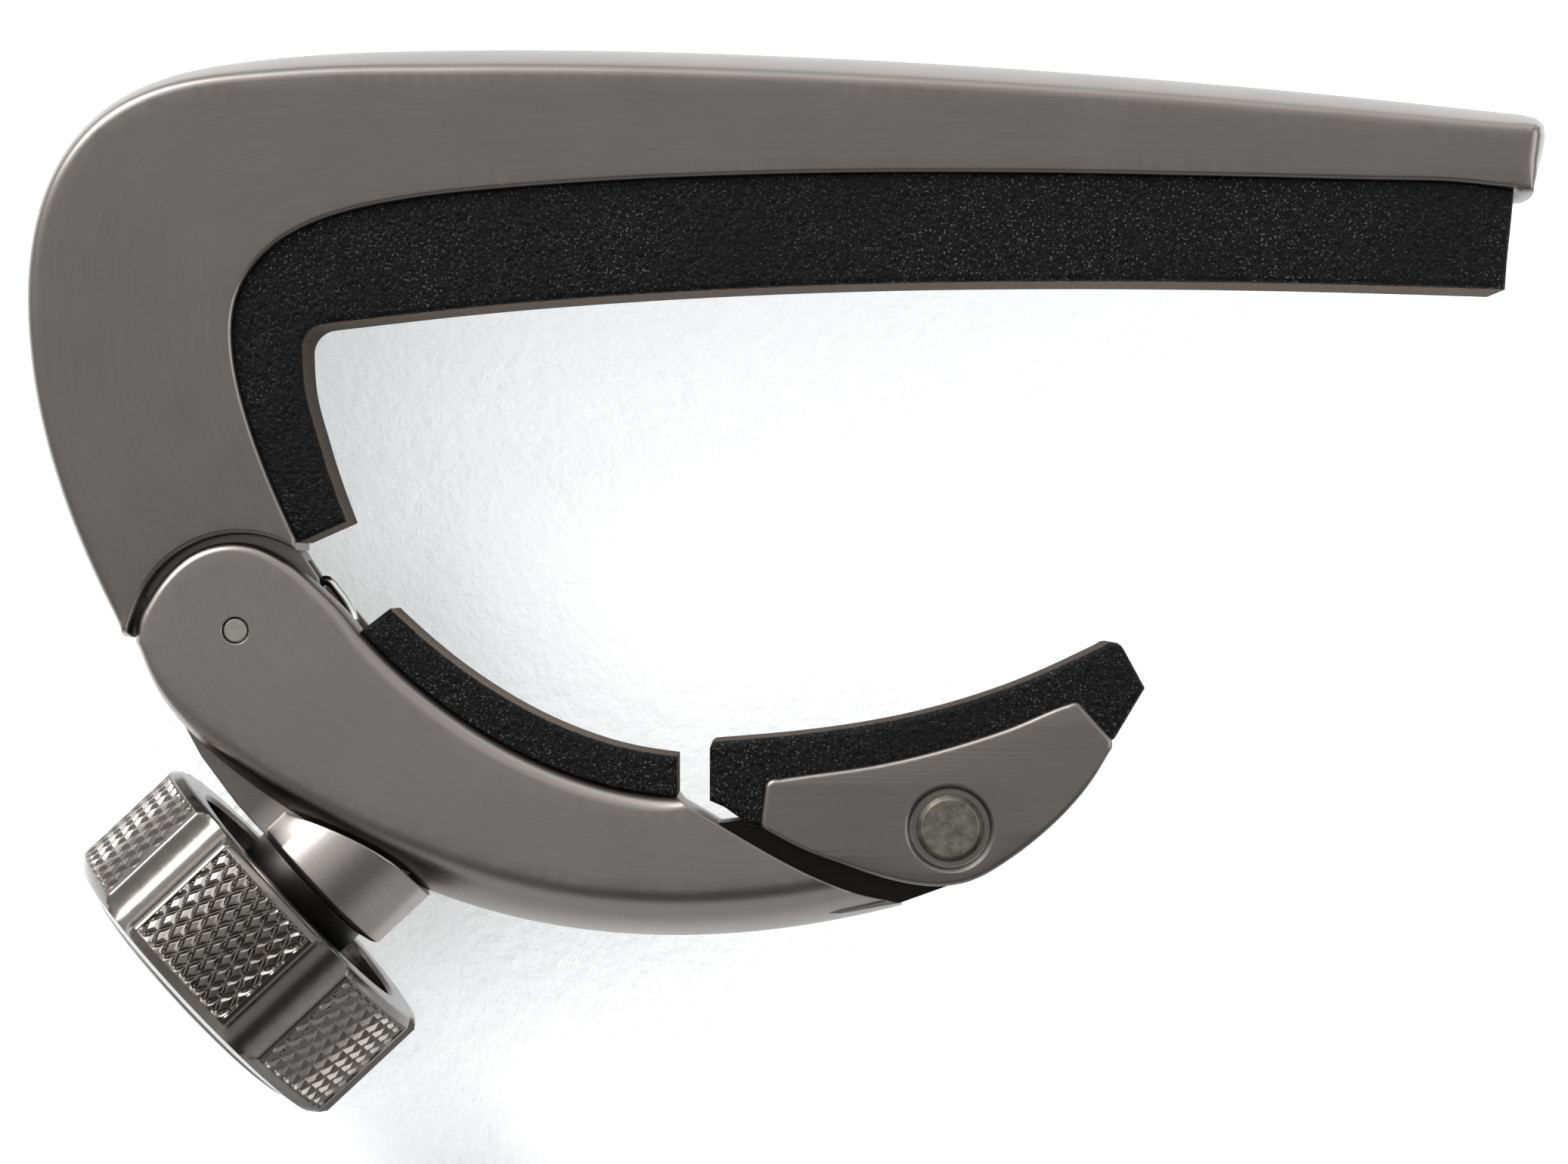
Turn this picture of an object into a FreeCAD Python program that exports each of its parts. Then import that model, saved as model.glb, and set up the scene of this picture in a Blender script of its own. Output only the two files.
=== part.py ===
"""Guitar capo: crowned C frame with a string pad, forked lower arm on a hinge pin,
swivelling pad carriage and a knurled thumb knob that drives the arm.

Row frame, millimetres: the origin is the middle of the string pad's working face,
at mid width. +X runs across the neck towards the frame's open tip, +Z points away
from the fretboard, +Y runs along the neck. The solids mirror about Y = 0, apart from
the spring, and the turned knob and screw set, which lie on a slanting axis in that plane.
"""

import FreeCAD, Part
import math
import os
import Sketcher

os.makedirs("parts", exist_ok=True)
doc = FreeCAD.newDocument("capo")
V = FreeCAD.Vector

# ------------------------------------------------------------------ sizes
SIZES = {
    # Widths along Y, and edge radii
    "body_width": 12.6, "pad_width": 11.4,
    "frame_crown": 2.0, "arm_crown": 2.6, "inner_edge": 0.5,
    "slot_width": 7.4, "tongue_width": 6.8, "nose_width": 6.8,
    # Hinge, its bushes and washers, and the spring
    "hinge_x": -40.0, "hinge_z": -20.7, "pin_dia": 1.5, "pin_clear": 0.03,
    "bush_bore": 1.6, "bush_outer": 3.0, "spring_slot": 3.2, "spring_room": 2.3,
    "wire_dia": 0.6, "coil_mean": 3.1, "coil_step": 0.7,
    "washer_outer": 5.2, "washer_thick": 0.25,
    # Screw axis: middle of the knob's inner rim, and unit direction towards the arm
    "knob_x": -36.784, "knob_z": -36.897, "axis_x": 0.7307, "axis_z": 0.6827,
    # Boss and threaded insert
    "boss_dia": 10.7, "neck_dia": 9.96, "boss_step": 1.83, "neck_out": 1.6,
    "boss_top": 8.0, "insert_outer": 6.0, "insert_bore": 4.0, "insert_top": 6.0,
    "nose_end": 6.3,
    # Knob and cap
    "knob_dia": 21.4, "knob_len": 7.63, "recess_dia": 16.2, "recess_depth": 5.0,
    "flute_count": 6, "flute_cutter": 2.06, "flute_centre": 12.06, "flute_phase": 7.0,
    "head_dia": 7.0, "head_low": 6.2, "head_top": 7.3, "cap_dia": 17.2, "cap_top": 9.05,
    # Screw, nut, thrust foot, clip and anvil
    "screw_dia": 3.9, "screw_neck": 2.4, "screw_tip": 8.15, "screw_step": 6.6,
    "nut_flats": 7.0, "nut_thick": 1.8,
    "foot_dia": 4.4, "foot_low": 6.75, "foot_shoulder": 8.0, "foot_tip": 8.95,
    "clip_outer": 3.3, "clip_bore": 2.0,
    "anvil_dia": 5.0, "anvil_face": 9.0, "anvil_thick": 1.2,
    # Carriage and its rivet
    "rivet_x": 2.565, "rivet_z": -32.49, "rivet_dia": 2.9, "rivet_head": 4.0,
    "spot_dia": 4.85, "spot_depth": 0.55, "rivet_bush_bore": 3.0, "rivet_bush_outer": 4.0,
    "lug_dia": 6.8, "plate_outer": 12.2, "plate_inner": 9.2,
    "spacer_outer": 6.6, "spacer_gap": 0.03,
}
sheet = doc.addObject("Spreadsheet::Sheet", "Sizes")
for row, (alias, number) in enumerate(SIZES.items(), start=1):
    sheet.set("A%d" % row, alias)
    sheet.set("B%d" % row, str(number))
    sheet.setAlias("B%d" % row, alias)
doc.recompute()


class Size:
    """A number together with the spreadsheet expression that gives it."""

    def __init__(self, value, expression=None):
        self.value = float(value)
        self.expression = expression or "(%.6f)" % self.value

    def _combine(self, other, sign, work_out):
        other = other if isinstance(other, Size) else Size(other)
        return Size(work_out(self.value, other.value),
                    "(%s %s %s)" % (self.expression, sign, other.expression))

    def __add__(self, other):
        return self._combine(other, "+", lambda a, b: a + b)

    def __sub__(self, other):
        return self._combine(other, "-", lambda a, b: a - b)

    def __rsub__(self, other):
        return Size(other) - self

    def __mul__(self, other):
        return self._combine(other, "*", lambda a, b: a * b)

    def __truediv__(self, other):
        return self._combine(other, "/", lambda a, b: a / b)

    def __neg__(self):
        return 0 - self


def size(alias):
    return Size(SIZES[alias], "Sizes." + alias)


def num(x):
    return x.value if isinstance(x, Size) else float(x)


# ------------------------------------------------------------------ places and shared sizes
HINGE = (size("hinge_x"), size("hinge_z"))
RIVET = (size("rivet_x"), size("rivet_z"))
KNOB = (size("knob_x"), size("knob_z"))

ALONG_Y = FreeCAD.Rotation(V(1, 0, 0), -90)
OUTWARD = FreeCAD.Rotation(V(0, 0, 1), V(-SIZES["axis_x"], 0, -SIZES["axis_z"]))

BODY_WIDTH = size("body_width")
THROUGH_BODY = BODY_WIDTH + 2
PAD_WIDTH = size("pad_width")
NOSE_WIDTH = size("nose_width")
TONGUE_HALF = size("tongue_width") / 2
INSERT_RADIUS = size("insert_outer") / 2
SCREW_RADIUS = size("screw_dia") / 2
SCREW_TIP_RADIUS = size("screw_neck") / 2
ANVIL_RADIUS = size("anvil_dia") / 2
ANVIL_FACE = size("anvil_face")
ANVIL_BACK = ANVIL_FACE + size("anvil_thick")
CLIP_RADIUS = size("clip_outer") / 2
HEAD_RADIUS = size("head_dia") / 2
CAP_RADIUS = size("cap_dia") / 2
CAP_SEAT = size("head_top") + 0.05
RECESS_FLOOR = size("recess_depth")


def axis_point(along, across):
    """Point at a distance along the screw's axis (towards the arm) and across it."""
    ux, uz = size("axis_x"), size("axis_z")
    return (KNOB[0] + ux * along - uz * across, KNOB[1] + uz * along + ux * across)


# ------------------------------------------------------------------ sketch helpers
def body(label):
    piece = doc.addObject("PartDesign::Body", label)
    piece.Label = label
    return piece


def origin_feature(piece, role):
    return [f for f in piece.Origin.OriginFeatures if f.Role == role][0]


def sketch(piece, name, plane="XZ_Plane"):
    sk = piece.newObject("Sketcher::SketchObject", name)
    sk.AttachmentSupport = [(origin_feature(piece, plane), "")]
    sk.MapMode = "FlatFace"
    return sk


def flat(point):
    return V(num(point[0]), num(point[1]), 0)


def drive(sk, index, value):
    """Binds a constraint to the sheet if its value comes from there."""
    if isinstance(value, Size):
        name = "size_%d" % index
        sk.renameConstraint(index, name)
        sk.setExpression("Constraints." + name, value.expression)


def bind_point(sk, element, end, point):
    """Fixes a point of a sketch; a zero coordinate puts it on the axis."""
    for kind, value, axis in (("DistanceX", point[0], -2), ("DistanceY", point[1], -1)):
        if abs(num(value)) < 1e-9:
            sk.addConstraint(Sketcher.Constraint("PointOnObject", element, end, axis))
            continue
        index = sk.addConstraint(
            Sketcher.Constraint(kind, -1, 1, element, end, num(value)))
        drive(sk, index, value)


def polygon(sk, corners):
    """Closed polygon whose corners are fixed by sizes."""
    count = len(corners)
    for i in range(count):
        sk.addGeometry(
            Part.LineSegment(flat(corners[i]), flat(corners[(i + 1) % count])), False)
    for i in range(count):
        sk.addConstraint(Sketcher.Constraint("Coincident", i, 2, (i + 1) % count, 1))
    for i in range(count):
        bind_point(sk, i, 1, corners[i])
    return sk


def circle(sk, centre, radius):
    element = sk.addGeometry(Part.Circle(flat(centre), V(0, 0, 1), num(radius)), False)
    index = sk.addConstraint(Sketcher.Constraint("Radius", element, num(radius)))
    drive(sk, index, radius)
    bind_point(sk, element, 3, centre)
    return sk


def add_blocked(sk, geometry, construction=False):
    element = sk.addGeometry(geometry, construction)
    sk.addConstraint(Sketcher.Constraint("Block", element))


def outline(sk, pieces):
    """Closed outline of curves, arcs and lines: each starts where the last ended."""
    for kind, points in pieces:
        vectors = [flat(point) for point in points]
        if kind == "curve":
            spline = Part.BSplineCurve()
            spline.interpolate(vectors)
            add_blocked(sk, spline)
        elif kind == "arc":
            add_blocked(sk, Part.Arc(*vectors))
        else:
            for start, end in zip(vectors, vectors[1:]):
                add_blocked(sk, Part.LineSegment(start, end))
    return sk


# ------------------------------------------------------------------ feature helpers
def finish(feature, before=None):
    """Recomputes a feature; a cut must leave less than the volume before it."""
    doc.recompute()
    if "Invalid" in feature.State or "Error" in feature.State or feature.Shape.isNull():
        raise RuntimeError("%s failed: %s" % (feature.Name, feature.State))
    if before is not None and feature.Shape.Volume >= before - 1e-6:
        raise RuntimeError("%s cuts nothing" % feature.Name)
    return feature


def extrude(piece, kind, sk, width, name, before=None):
    feature = piece.newObject("PartDesign::" + kind, name)
    feature.Profile = sk
    feature.SideType = "Symmetric"
    feature.Length = num(width)
    feature.setExpression("Length", width.expression)
    return finish(feature, before)


def pad(piece, sk, width, name):
    return extrude(piece, "Pad", sk, width, name)


def pocket(piece, sk, width, name):
    return extrude(piece, "Pocket", sk, width, name, piece.Tip.Shape.Volume)


def side_edges(shape, longer_than, keep):
    """Names of long edges in the two side planes whose bounding box passes the test."""
    names = []
    for number, edge in enumerate(shape.Edges, start=1):
        box = edge.BoundBox
        in_side = (abs(abs(box.YMin) - num(BODY_WIDTH) / 2) < 1e-3
                   and abs(box.YMax - box.YMin) < 1e-3)
        if in_side and edge.Length > longer_than and keep(box):
            names.append("Edge%d" % number)
    return names


def fillet(piece, base, names, radius, name):
    if not names:
        raise RuntimeError("no edges for " + name)
    feature = piece.newObject("PartDesign::Fillet", name)
    feature.Base = (base, names)
    feature.Radius = num(radius)
    feature.setExpression("Radius", radius.expression)
    return finish(feature)


def turn_on_screw_axis(piece, kind, name, profile):
    """Revolution or Groove about the screw's axis, from (along, across) points."""
    before = piece.Tip.Shape.Volume if kind == "Groove" else None
    sk = polygon(sketch(piece, name + "_profile"), [axis_point(*point) for point in profile])
    axis_ends = [flat(axis_point(along, 0)) for along in (-5, 12)]
    add_blocked(sk, Part.LineSegment(*axis_ends), construction=True)
    feature = piece.newObject("PartDesign::" + kind, name)
    feature.Profile = sk
    feature.ReferenceAxis = (sk, ["Axis0"])
    feature.Angle = 360
    return finish(feature, before)


def turned_body(label, profile):
    """Body turned from a closed (radius, height) profile about its own Z axis."""
    piece = body(label)
    sk = polygon(sketch(piece, label + "_profile"), profile)
    turning = piece.newObject("PartDesign::Revolution", label + "_turned")
    turning.Profile = sk
    turning.ReferenceAxis = (sk, ["V_Axis"])
    turning.Angle = 360
    doc.recompute()
    return piece


def place(piece, where, rotation):
    x, z = where
    piece.Placement = FreeCAD.Placement(V(num(x), 0, num(z)), rotation)
    piece.setExpression("Placement.Base.x", x.expression)
    piece.setExpression("Placement.Base.z", z.expression)
    return piece


def turned_part(label, where, rotation, profile):
    return place(turned_body(label, profile), where, rotation)


def ring_pair(label, where, outer, bore, inside, outside):
    """Two equal rings either side of the middle plane, as one node of two solids."""
    x, z = where
    rings = []
    for side, first_face in (("far", inside), ("near", -outside)):
        cylinders = []
        for role, diameter, overrun in (("outer", outer, 0), ("bore", bore, 1)):
            start = first_face - overrun
            cylinder = doc.addObject("Part::Cylinder", "%s_%s_%s" % (label, role, side))
            cylinder.setExpression("Radius", (diameter / 2).expression)
            cylinder.setExpression("Height", (outside - inside + overrun * 2).expression)
            cylinder.Placement = FreeCAD.Placement(V(num(x), num(start), num(z)), ALONG_Y)
            for axis, value in (("x", x), ("y", start), ("z", z)):
                cylinder.setExpression("Placement.Base." + axis, value.expression)
            cylinders.append(cylinder)
        ring = doc.addObject("Part::Cut", label + "_" + side)
        ring.Base, ring.Tool = cylinders
        rings.append(ring)
    group = doc.addObject("Part::Compound", label)
    group.Links = rings
    group.Label = label
    doc.recompute()
    return group


# ------------------------------------------------------------------ free outlines, (x, z)
# Outer side of the frame: round the tip, over the crown and down the spine.
FRAME_TIP = [
    (37.45, 5.2), (37.85, 6.26), (38.34, 7.81), (38.54, 8.91), (38.45, 9.7), (38.0, 10.16),
    (37.12, 10.39)]
FRAME_OUTER = [
    (37.12, 10.39), (32.34, 10.91), (27.55, 11.4), (22.76, 11.86), (17.96, 12.29), (13.17, 12.68),
    (8.36, 13.04), (3.56, 13.36), (-1.24, 13.64), (-6.05, 13.87), (-10.86, 14.06), (-15.67, 14.2),
    (-20.48, 14.28), (-25.29, 14.29), (-30.11, 14.22), (-34.92, 14.03), (-39.71, 13.58),
    (-44.43, 12.63), (-48.63, 10.38), (-51.47, 6.53), (-52.7, 1.88), (-52.77, -2.94),
    (-52.11, -7.69), (-50.83, -12.33), (-49.06, -16.82), (-46.91, -21.11)]
# Inner side of the frame, where the string pad sits, from the hinge to the tip.
FRAME_UNDER = [
    (-36.42, -15.2), (-37.94, -11.78), (-39.22, -8.29), (-40.09, -4.63), (-39.95, -0.95),
    (-37.86, 2.1), (-34.59, 3.86), (-30.94, 4.78), (-27.25, 5.31), (-23.53, 5.65), (-19.81, 5.93),
    (-16.08, 6.15), (-12.35, 6.31), (-8.61, 6.43), (-4.88, 6.51), (-1.14, 6.55), (2.6, 6.56),
    (6.34, 6.54), (10.08, 6.5), (13.81, 6.43), (17.54, 6.35), (21.28, 6.27), (25.01, 6.18),
    (28.75, 6.1), (32.49, 6.0), (36.18, 5.58)]
# String pad: end at the tip, hollow working face for a cambered fretboard, and leg.
PAD_END = [(36.18, 5.2), (36.04, 3.6), (35.82, 1.48), (35.68, -0.38)]
PAD_WORK = [
    (35.68, -0.38), (26.88, -0.12), (18.08, 0.05), (9.27, 0.1), (0.46, 0.01), (-8.34, -0.26),
    (-17.12, -0.74), (-25.9, -1.45), (-34.65, -2.43)]
PAD_LEG = [
    (-36.05, -4.1), (-35.93, -6.0), (-35.6, -7.6), (-35.2, -8.95), (-34.84, -10.2),
    (-34.4, -11.55), (-33.92, -12.9), (-33.41, -14.22)]
# Lower arm: round end, inner edge, outer edge and the stepped cut beside the nose.
ARM_END = [
    (-46.15, -21.4), (-45.85, -20.1), (-45.4, -19.2), (-44.76, -18.15), (-43.9, -17.1),
    (-42.8, -16.2), (-41.56, -15.65), (-40.2, -15.45), (-38.89, -15.62), (-37.7, -16.1),
    (-36.4, -16.9), (-34.7, -18.35), (-33.3, -19.72), (-32.5, -20.7)]
ARM_INNER = [
    (-32.5, -20.7), (-30.6, -22.63), (-28.54, -24.42), (-26.34, -26.03), (-24.02, -27.45),
    (-21.57, -28.64), (-19.03, -29.58), (-16.4, -30.24), (-13.7, -30.6)]
ARM_OUTER = [
    (3.6, -36.1), (-0.25, -37.33), (-3.27, -38.03), (-6.33, -38.58), (-9.42, -38.95),
    (-12.52, -39.13), (-15.62, -39.11), (-18.71, -38.88), (-21.76, -38.43), (-24.78, -37.74),
    (-27.74, -36.81), (-30.63, -35.65), (-33.42, -34.27), (-36.11, -32.68), (-38.67, -30.9),
    (-41.08, -28.93), (-43.27, -26.76), (-45.04, -24.29), (-46.15, -21.4)]
STEP_CUT = [
    (-13.32, -31.09), (-11.26, -32.28), (-9.19, -33.5), (-7.09, -34.67), (-4.93, -35.7),
    (-2.7, -36.52), (-0.36, -37.05)]
# Working faces of the two neck pads.
FIXED_TOP = [
    (-30.82, -19.39), (-28.76, -21.27), (-26.55, -23.02), (-24.21, -24.57), (-21.74, -25.91),
    (-19.16, -26.99), (-16.48, -27.77), (-13.7, -28.21)]
SWIVEL_TOP = [
    (-11.21, -27.31), (-7.26, -26.98), (-3.32, -26.49), (0.57, -25.75), (4.39, -24.69),
    (8.1, -23.3), (11.7, -21.62)]
# Cheek of the swivelling carriage: straight-ish top edge, then the round belly.
CHEEK_TOP = [
    (-7.7, -29.54), (-6.3, -29.33), (-2.7, -28.83), (0.9, -28.08), (4.5, -27.04),
    (6.75, -26.23), (9.2, -25.2), (9.9, -24.97)]
CHEEK_BELLY = [
    (12.06, -27.96), (11.16, -29.45), (9.0, -32.0), (5.76, -34.6), (3.62, -35.7), (2.4, -35.93),
    (-0.68, -35.64), (-3.92, -34.67), (-6.3, -33.78), (-8.62, -32.53)]
CHEEK = [
    ("curve", CHEEK_TOP),
    ("arc", [CHEEK_TOP[-1], (10.2, -24.99), (10.45, -25.22)]),
    ("line", [(10.45, -25.22), (12.1, -27.1)]),
    ("arc", [(12.1, -27.1), (12.25, -27.5), CHEEK_BELLY[0]]),
    ("curve", CHEEK_BELLY),
    ("line", [CHEEK_BELLY[-1], (-8.73, -32.23), (-8.45, -29.95)]),
    ("arc", [(-8.45, -29.95), (-8.15, -29.6), CHEEK_TOP[0]]),
]


# ------------------------------------------------------------------ upper frame
ARM_OPENING = math.radians(0.6)
ARM_ROOM_GAP = 0.18


def opened(x, z):
    """Point of the arm's outer edge with the arm swung open, moved out by the gap."""
    hinge_x, hinge_z = num(HINGE[0]), num(HINGE[1])
    reach = math.hypot(x - hinge_x, z - hinge_z) + ARM_ROOM_GAP
    angle = math.atan2(z - hinge_z, x - hinge_x) - ARM_OPENING
    return (hinge_x + reach * math.cos(angle), hinge_z + reach * math.sin(angle))


def make_upper_frame():
    frame = body("upper_frame")
    sk = outline(sketch(frame, "frame_outline"), [
        ("line", FRAME_TIP),
        ("curve", FRAME_OUTER),
        ("line", [FRAME_OUTER[-1], (-46.25, -21.15)]),
        ("arc", [(-46.25, -21.15), (-39.83, -14.93), (-36.42, -15.90)]),
        ("line", [(-36.42, -15.90), FRAME_UNDER[0]]),
        ("curve", FRAME_UNDER),
        ("line", [FRAME_UNDER[-1], (36.9, 5.22), FRAME_TIP[0]]),
    ])
    bar = pad(frame, sk, BODY_WIDTH, "frame_bar")
    crown_edges = side_edges(bar.Shape, 100, lambda box: box.ZMax > 10)
    crowned = fillet(frame, bar, crown_edges, size("frame_crown"), "frame_crowned")
    under_edges = side_edges(crowned.Shape, 60, lambda box: box.ZMax < 8)
    fillet(frame, crowned, under_edges, size("inner_edge"), "frame_inner_edges")

    # Boss for the screw, with a narrower neck towards the knob.
    boss_radius, neck_radius = size("boss_dia") / 2, size("neck_dia") / 2
    low, step, top = -size("neck_out"), size("boss_step"), size("boss_top")
    turn_on_screw_axis(frame, "Revolution", "boss", [
        (low, 0), (low, neck_radius - 0.3), (low + 0.3, neck_radius),
        (step - 0.2, neck_radius), (step, boss_radius), (top, boss_radius), (top, 0)])

    # Room for the lower arm, at its widest opening, beside the tongue.
    clear = [opened(x, z) for x, z in ARM_OUTER if -42.0 < x < -23.0]
    sk = outline(sketch(frame, "arm_room"), [
        ("curve", clear),
        ("line", [clear[-1], (-42.5, -26.5), (-24.0, -26.5), clear[0]]),
    ])
    pocket(frame, sk, THROUGH_BODY, "arm_clearance")

    # Tongue between the forks, from the frame's hinge end to the boss.
    sk = polygon(sketch(frame, "tongue_outline"), [
        (-45.6, -17.4), (-44.0, -13.2), (-38.0, -13.2), (-36.42, -15.9),
        (-35.3, -17.6), (-34.9, -20.5), (-34.8, -24.5),
        axis_point(size("nose_end"), 3.4), axis_point(size("nose_end"), -3.1),
        axis_point(2.2, -3.1), axis_point(2.2, 5.1),
        (-39.59, -31.91), (-41.17, -29.87), (-42.26, -28.28),
        (-43.21, -26.52), (-44.3, -24.6), (-45.1, -22.7), (-45.5, -20.5)])
    pad(frame, sk, size("tongue_width"), "tongue")

    # Hole for the threaded insert, bore for the bushes and the spring's room.
    hole_start, hole_end = low - 1, size("nose_end") + 3
    turn_on_screw_axis(frame, "Groove", "insert_hole", [
        (hole_start, 0), (hole_start, INSERT_RADIUS), (hole_end, INSERT_RADIUS), (hole_end, 0)])
    sk = circle(sketch(frame, "bush_hole_outline"), HINGE, size("bush_outer") / 2)
    pocket(frame, sk, BODY_WIDTH, "bush_hole")
    room = size("spring_room")
    room_left, room_right, room_low = HINGE[0] - room, -33.5, HINGE[1] - room
    sk = polygon(sketch(frame, "spring_room_outline"), [
        (room_left, room_low), (room_right, room_low), (room_right, HINGE[1] + 5.2),
        (HINGE[0] + 1.0, HINGE[1] + 3.0), (HINGE[0] - 0.6, HINGE[1] + 5.0),
        (room_left, HINGE[1] + 5.0)])
    pocket(frame, sk, size("spring_slot"), "spring_room")
    return frame


# ------------------------------------------------------------------ string pad
def make_string_pad():
    string_pad = body("string_pad")
    sk = outline(sketch(string_pad, "string_pad_outline"), [
        ("curve", FRAME_UNDER),
        ("line", [FRAME_UNDER[-1], PAD_END[0]]),
        ("curve", PAD_END),
        ("curve", PAD_WORK),
        ("arc", [PAD_WORK[-1], (-35.72, -2.95), PAD_LEG[0]]),
        ("curve", PAD_LEG),
        ("line", [PAD_LEG[-1], (-36.2, -15.45), FRAME_UNDER[0]]),
    ])
    pad(string_pad, sk, PAD_WIDTH, "string_pad_block")
    return string_pad


# ------------------------------------------------------------------ lower arm
def make_lower_arm():
    arm = body("lower_arm")
    sk = outline(sketch(arm, "arm_outline"), [
        ("curve", ARM_END),
        ("curve", ARM_INNER),
        ("line", [ARM_INNER[-1], (3.6, -31.5), ARM_OUTER[0]]),
        ("curve", ARM_OUTER),
    ])
    bar = pad(arm, sk, BODY_WIDTH, "arm_bar")
    outer_edges = side_edges(bar.Shape, 40, lambda box: box.ZMin < -38)
    fillet(arm, bar, outer_edges, size("arm_crown"), "arm_crowned")

    # The full-width bar ends at the step; a narrower nose carries on to the rivet.
    sk = outline(sketch(arm, "step_outline"), [
        ("line", [ARM_INNER[-1], STEP_CUT[0]]),
        ("curve", STEP_CUT),
        ("line", [STEP_CUT[-1], (0.6, -38.6), (8.0, -38.6), (8.0, -25.0), (-13.7, -25.0),
                  ARM_INNER[-1]]),
    ])
    pocket(arm, sk, THROUGH_BODY, "step_cut")
    sk = polygon(sketch(arm, "nose_outline"), [
        (-16.0, -33.4), (-11.5, -32.3), (-7.5, -31.85), (-3.0, -30.9),
        (RIVET[0] - 1.37, RIVET[1] + 3.11), (RIVET[0] + 0.4, RIVET[1] - 3.376),
        STEP_CUT[-1], (-4.0, -37.7), (-16.0, -37.5)])
    pad(arm, sk, NOSE_WIDTH, "nose")
    sk = circle(sketch(arm, "lug_outline"), RIVET, size("lug_dia") / 2)
    pad(arm, sk, NOSE_WIDTH, "nose_lug")

    # Fork slot: open to the inner side and, left of the anvil, to the outer side.
    sk = polygon(sketch(arm, "slot_outline"), [
        (-50.0, -12.0), (-32.4, -12.0), (-32.4, -24.6),
        axis_point(ANVIL_FACE, 3.4), axis_point(ANVIL_FACE, -3.6), axis_point(0.5, -3.6),
        (-50.0, -40.5)])
    pocket(arm, sk, size("slot_width"), "fork_slot")

    pin_hole_radius = size("pin_dia") / 2 + size("pin_clear")
    sk = circle(sketch(arm, "pin_hole_outline"), HINGE, pin_hole_radius)
    pocket(arm, sk, THROUGH_BODY, "pin_hole")
    sk = circle(sketch(arm, "rivet_bush_hole_outline"), RIVET, size("rivet_bush_outer") / 2)
    pocket(arm, sk, BODY_WIDTH, "rivet_bush_hole")
    seat_start = ANVIL_FACE - 0.5
    turn_on_screw_axis(arm, "Groove", "anvil_seat", [
        (seat_start, 0), (seat_start, ANVIL_RADIUS), (ANVIL_BACK, ANVIL_RADIUS),
        (ANVIL_BACK, 0)])
    return arm


# ------------------------------------------------------------------ fixed neck pad
def make_fixed_pad():
    fixed = body("neck_pad_fixed")
    sk = outline(sketch(fixed, "fixed_pad_outline"), [
        ("curve", ARM_INNER),
        ("line", [ARM_INNER[-1], FIXED_TOP[-1]]),
        ("curve", FIXED_TOP[::-1]),
        ("line", [FIXED_TOP[0], ARM_INNER[0]]),
    ])
    pad(fixed, sk, PAD_WIDTH, "fixed_pad_block")
    return fixed


# ------------------------------------------------------------------ swivelling carriage
def make_carriage():
    carriage = body("pivot_carriage")
    sk = outline(sketch(carriage, "cheek_outline"), CHEEK)
    pad(carriage, sk, size("plate_outer"), "carriage_block")

    # The channel between the cheeks, under the web that carries the rubber.
    under = [(x + 0.25, z - 1.2) for x, z in CHEEK_TOP]
    channel_start = (-12.0, -31.2)
    sk = outline(sketch(carriage, "channel_outline"), [
        ("line", [channel_start, under[0]]),
        ("curve", under),
        ("line", [under[-1], (16.0, -30.0), (16.0, -40.0), (-12.0, -40.0), channel_start]),
    ])
    pocket(carriage, sk, size("plate_inner"), "channel")
    sk = circle(sketch(carriage, "rivet_hole_outline"), RIVET, size("rivet_dia") / 2)
    pocket(carriage, sk, BODY_WIDTH, "rivet_hole")

    # The sketch normal is -Y, so the positive offset is the near cheek.
    for sign, name in ((1, "spotface_near"), (-1, "spotface_far")):
        sk = sketch(carriage, name + "_outline")
        sk.AttachmentOffset = FreeCAD.Placement(
            V(0, 0, sign * SIZES["plate_outer"] / 2), FreeCAD.Rotation())
        circle(sk, RIVET, size("spot_dia") / 2)
        pocket(carriage, sk, size("spot_depth") * 2, name)
    return carriage


# ------------------------------------------------------------------ swivelling pad
def make_swivel_pad():
    swivel = body("pivot_pad")
    sk = outline(sketch(swivel, "swivel_pad_outline"), [
        ("curve", SWIVEL_TOP),
        ("arc", [SWIVEL_TOP[-1], (12.45, -21.42), (12.95, -21.85)]),
        ("line", [(12.95, -21.85), (14.2, -24.15), (12.4, -27.15), (9.0, -29.5),
                  (-8.0, -32.3), (-8.75, -32.45), (-9.4, -32.3), (-10.9, -31.25),
                  (-11.77, -30.87), (-11.77, -27.75)]),
        ("arc", [(-11.77, -27.75), (-11.65, -27.45), SWIVEL_TOP[0]]),
    ])
    pad(swivel, sk, PAD_WIDTH, "swivel_pad_block")
    sk = outline(sketch(swivel, "cheek_room_outline"), CHEEK)
    pocket(swivel, sk, BODY_WIDTH, "cheek_room")
    sk = polygon(sketch(swivel, "nose_room_outline"), [
        (-13.0, -30.75), (-8.0, -30.75), (-8.0, -34.0), (-13.0, -34.0)])
    pocket(swivel, sk, NOSE_WIDTH + 0.8, "nose_room")
    return swivel


# ------------------------------------------------------------------ hinge pin
def make_hinge_pin():
    radius, end, chamfer = size("pin_dia") / 2, BODY_WIDTH / 2 - 0.05, 0.1
    return turned_part("hinge_pin", HINGE, ALONG_Y, [
        (0, -end), (radius - chamfer, -end), (radius, chamfer - end),
        (radius, end - chamfer), (radius - chamfer, end), (0, end)])


# ------------------------------------------------------------------ opening spring
COIL_TURNS = 3.25
COIL_STEPS = 46
WIRE_SIDES = 8
UPPER_LEG_HEIGHTS = (4.2, 2.4, 0.8)  # above the hinge axis
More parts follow.
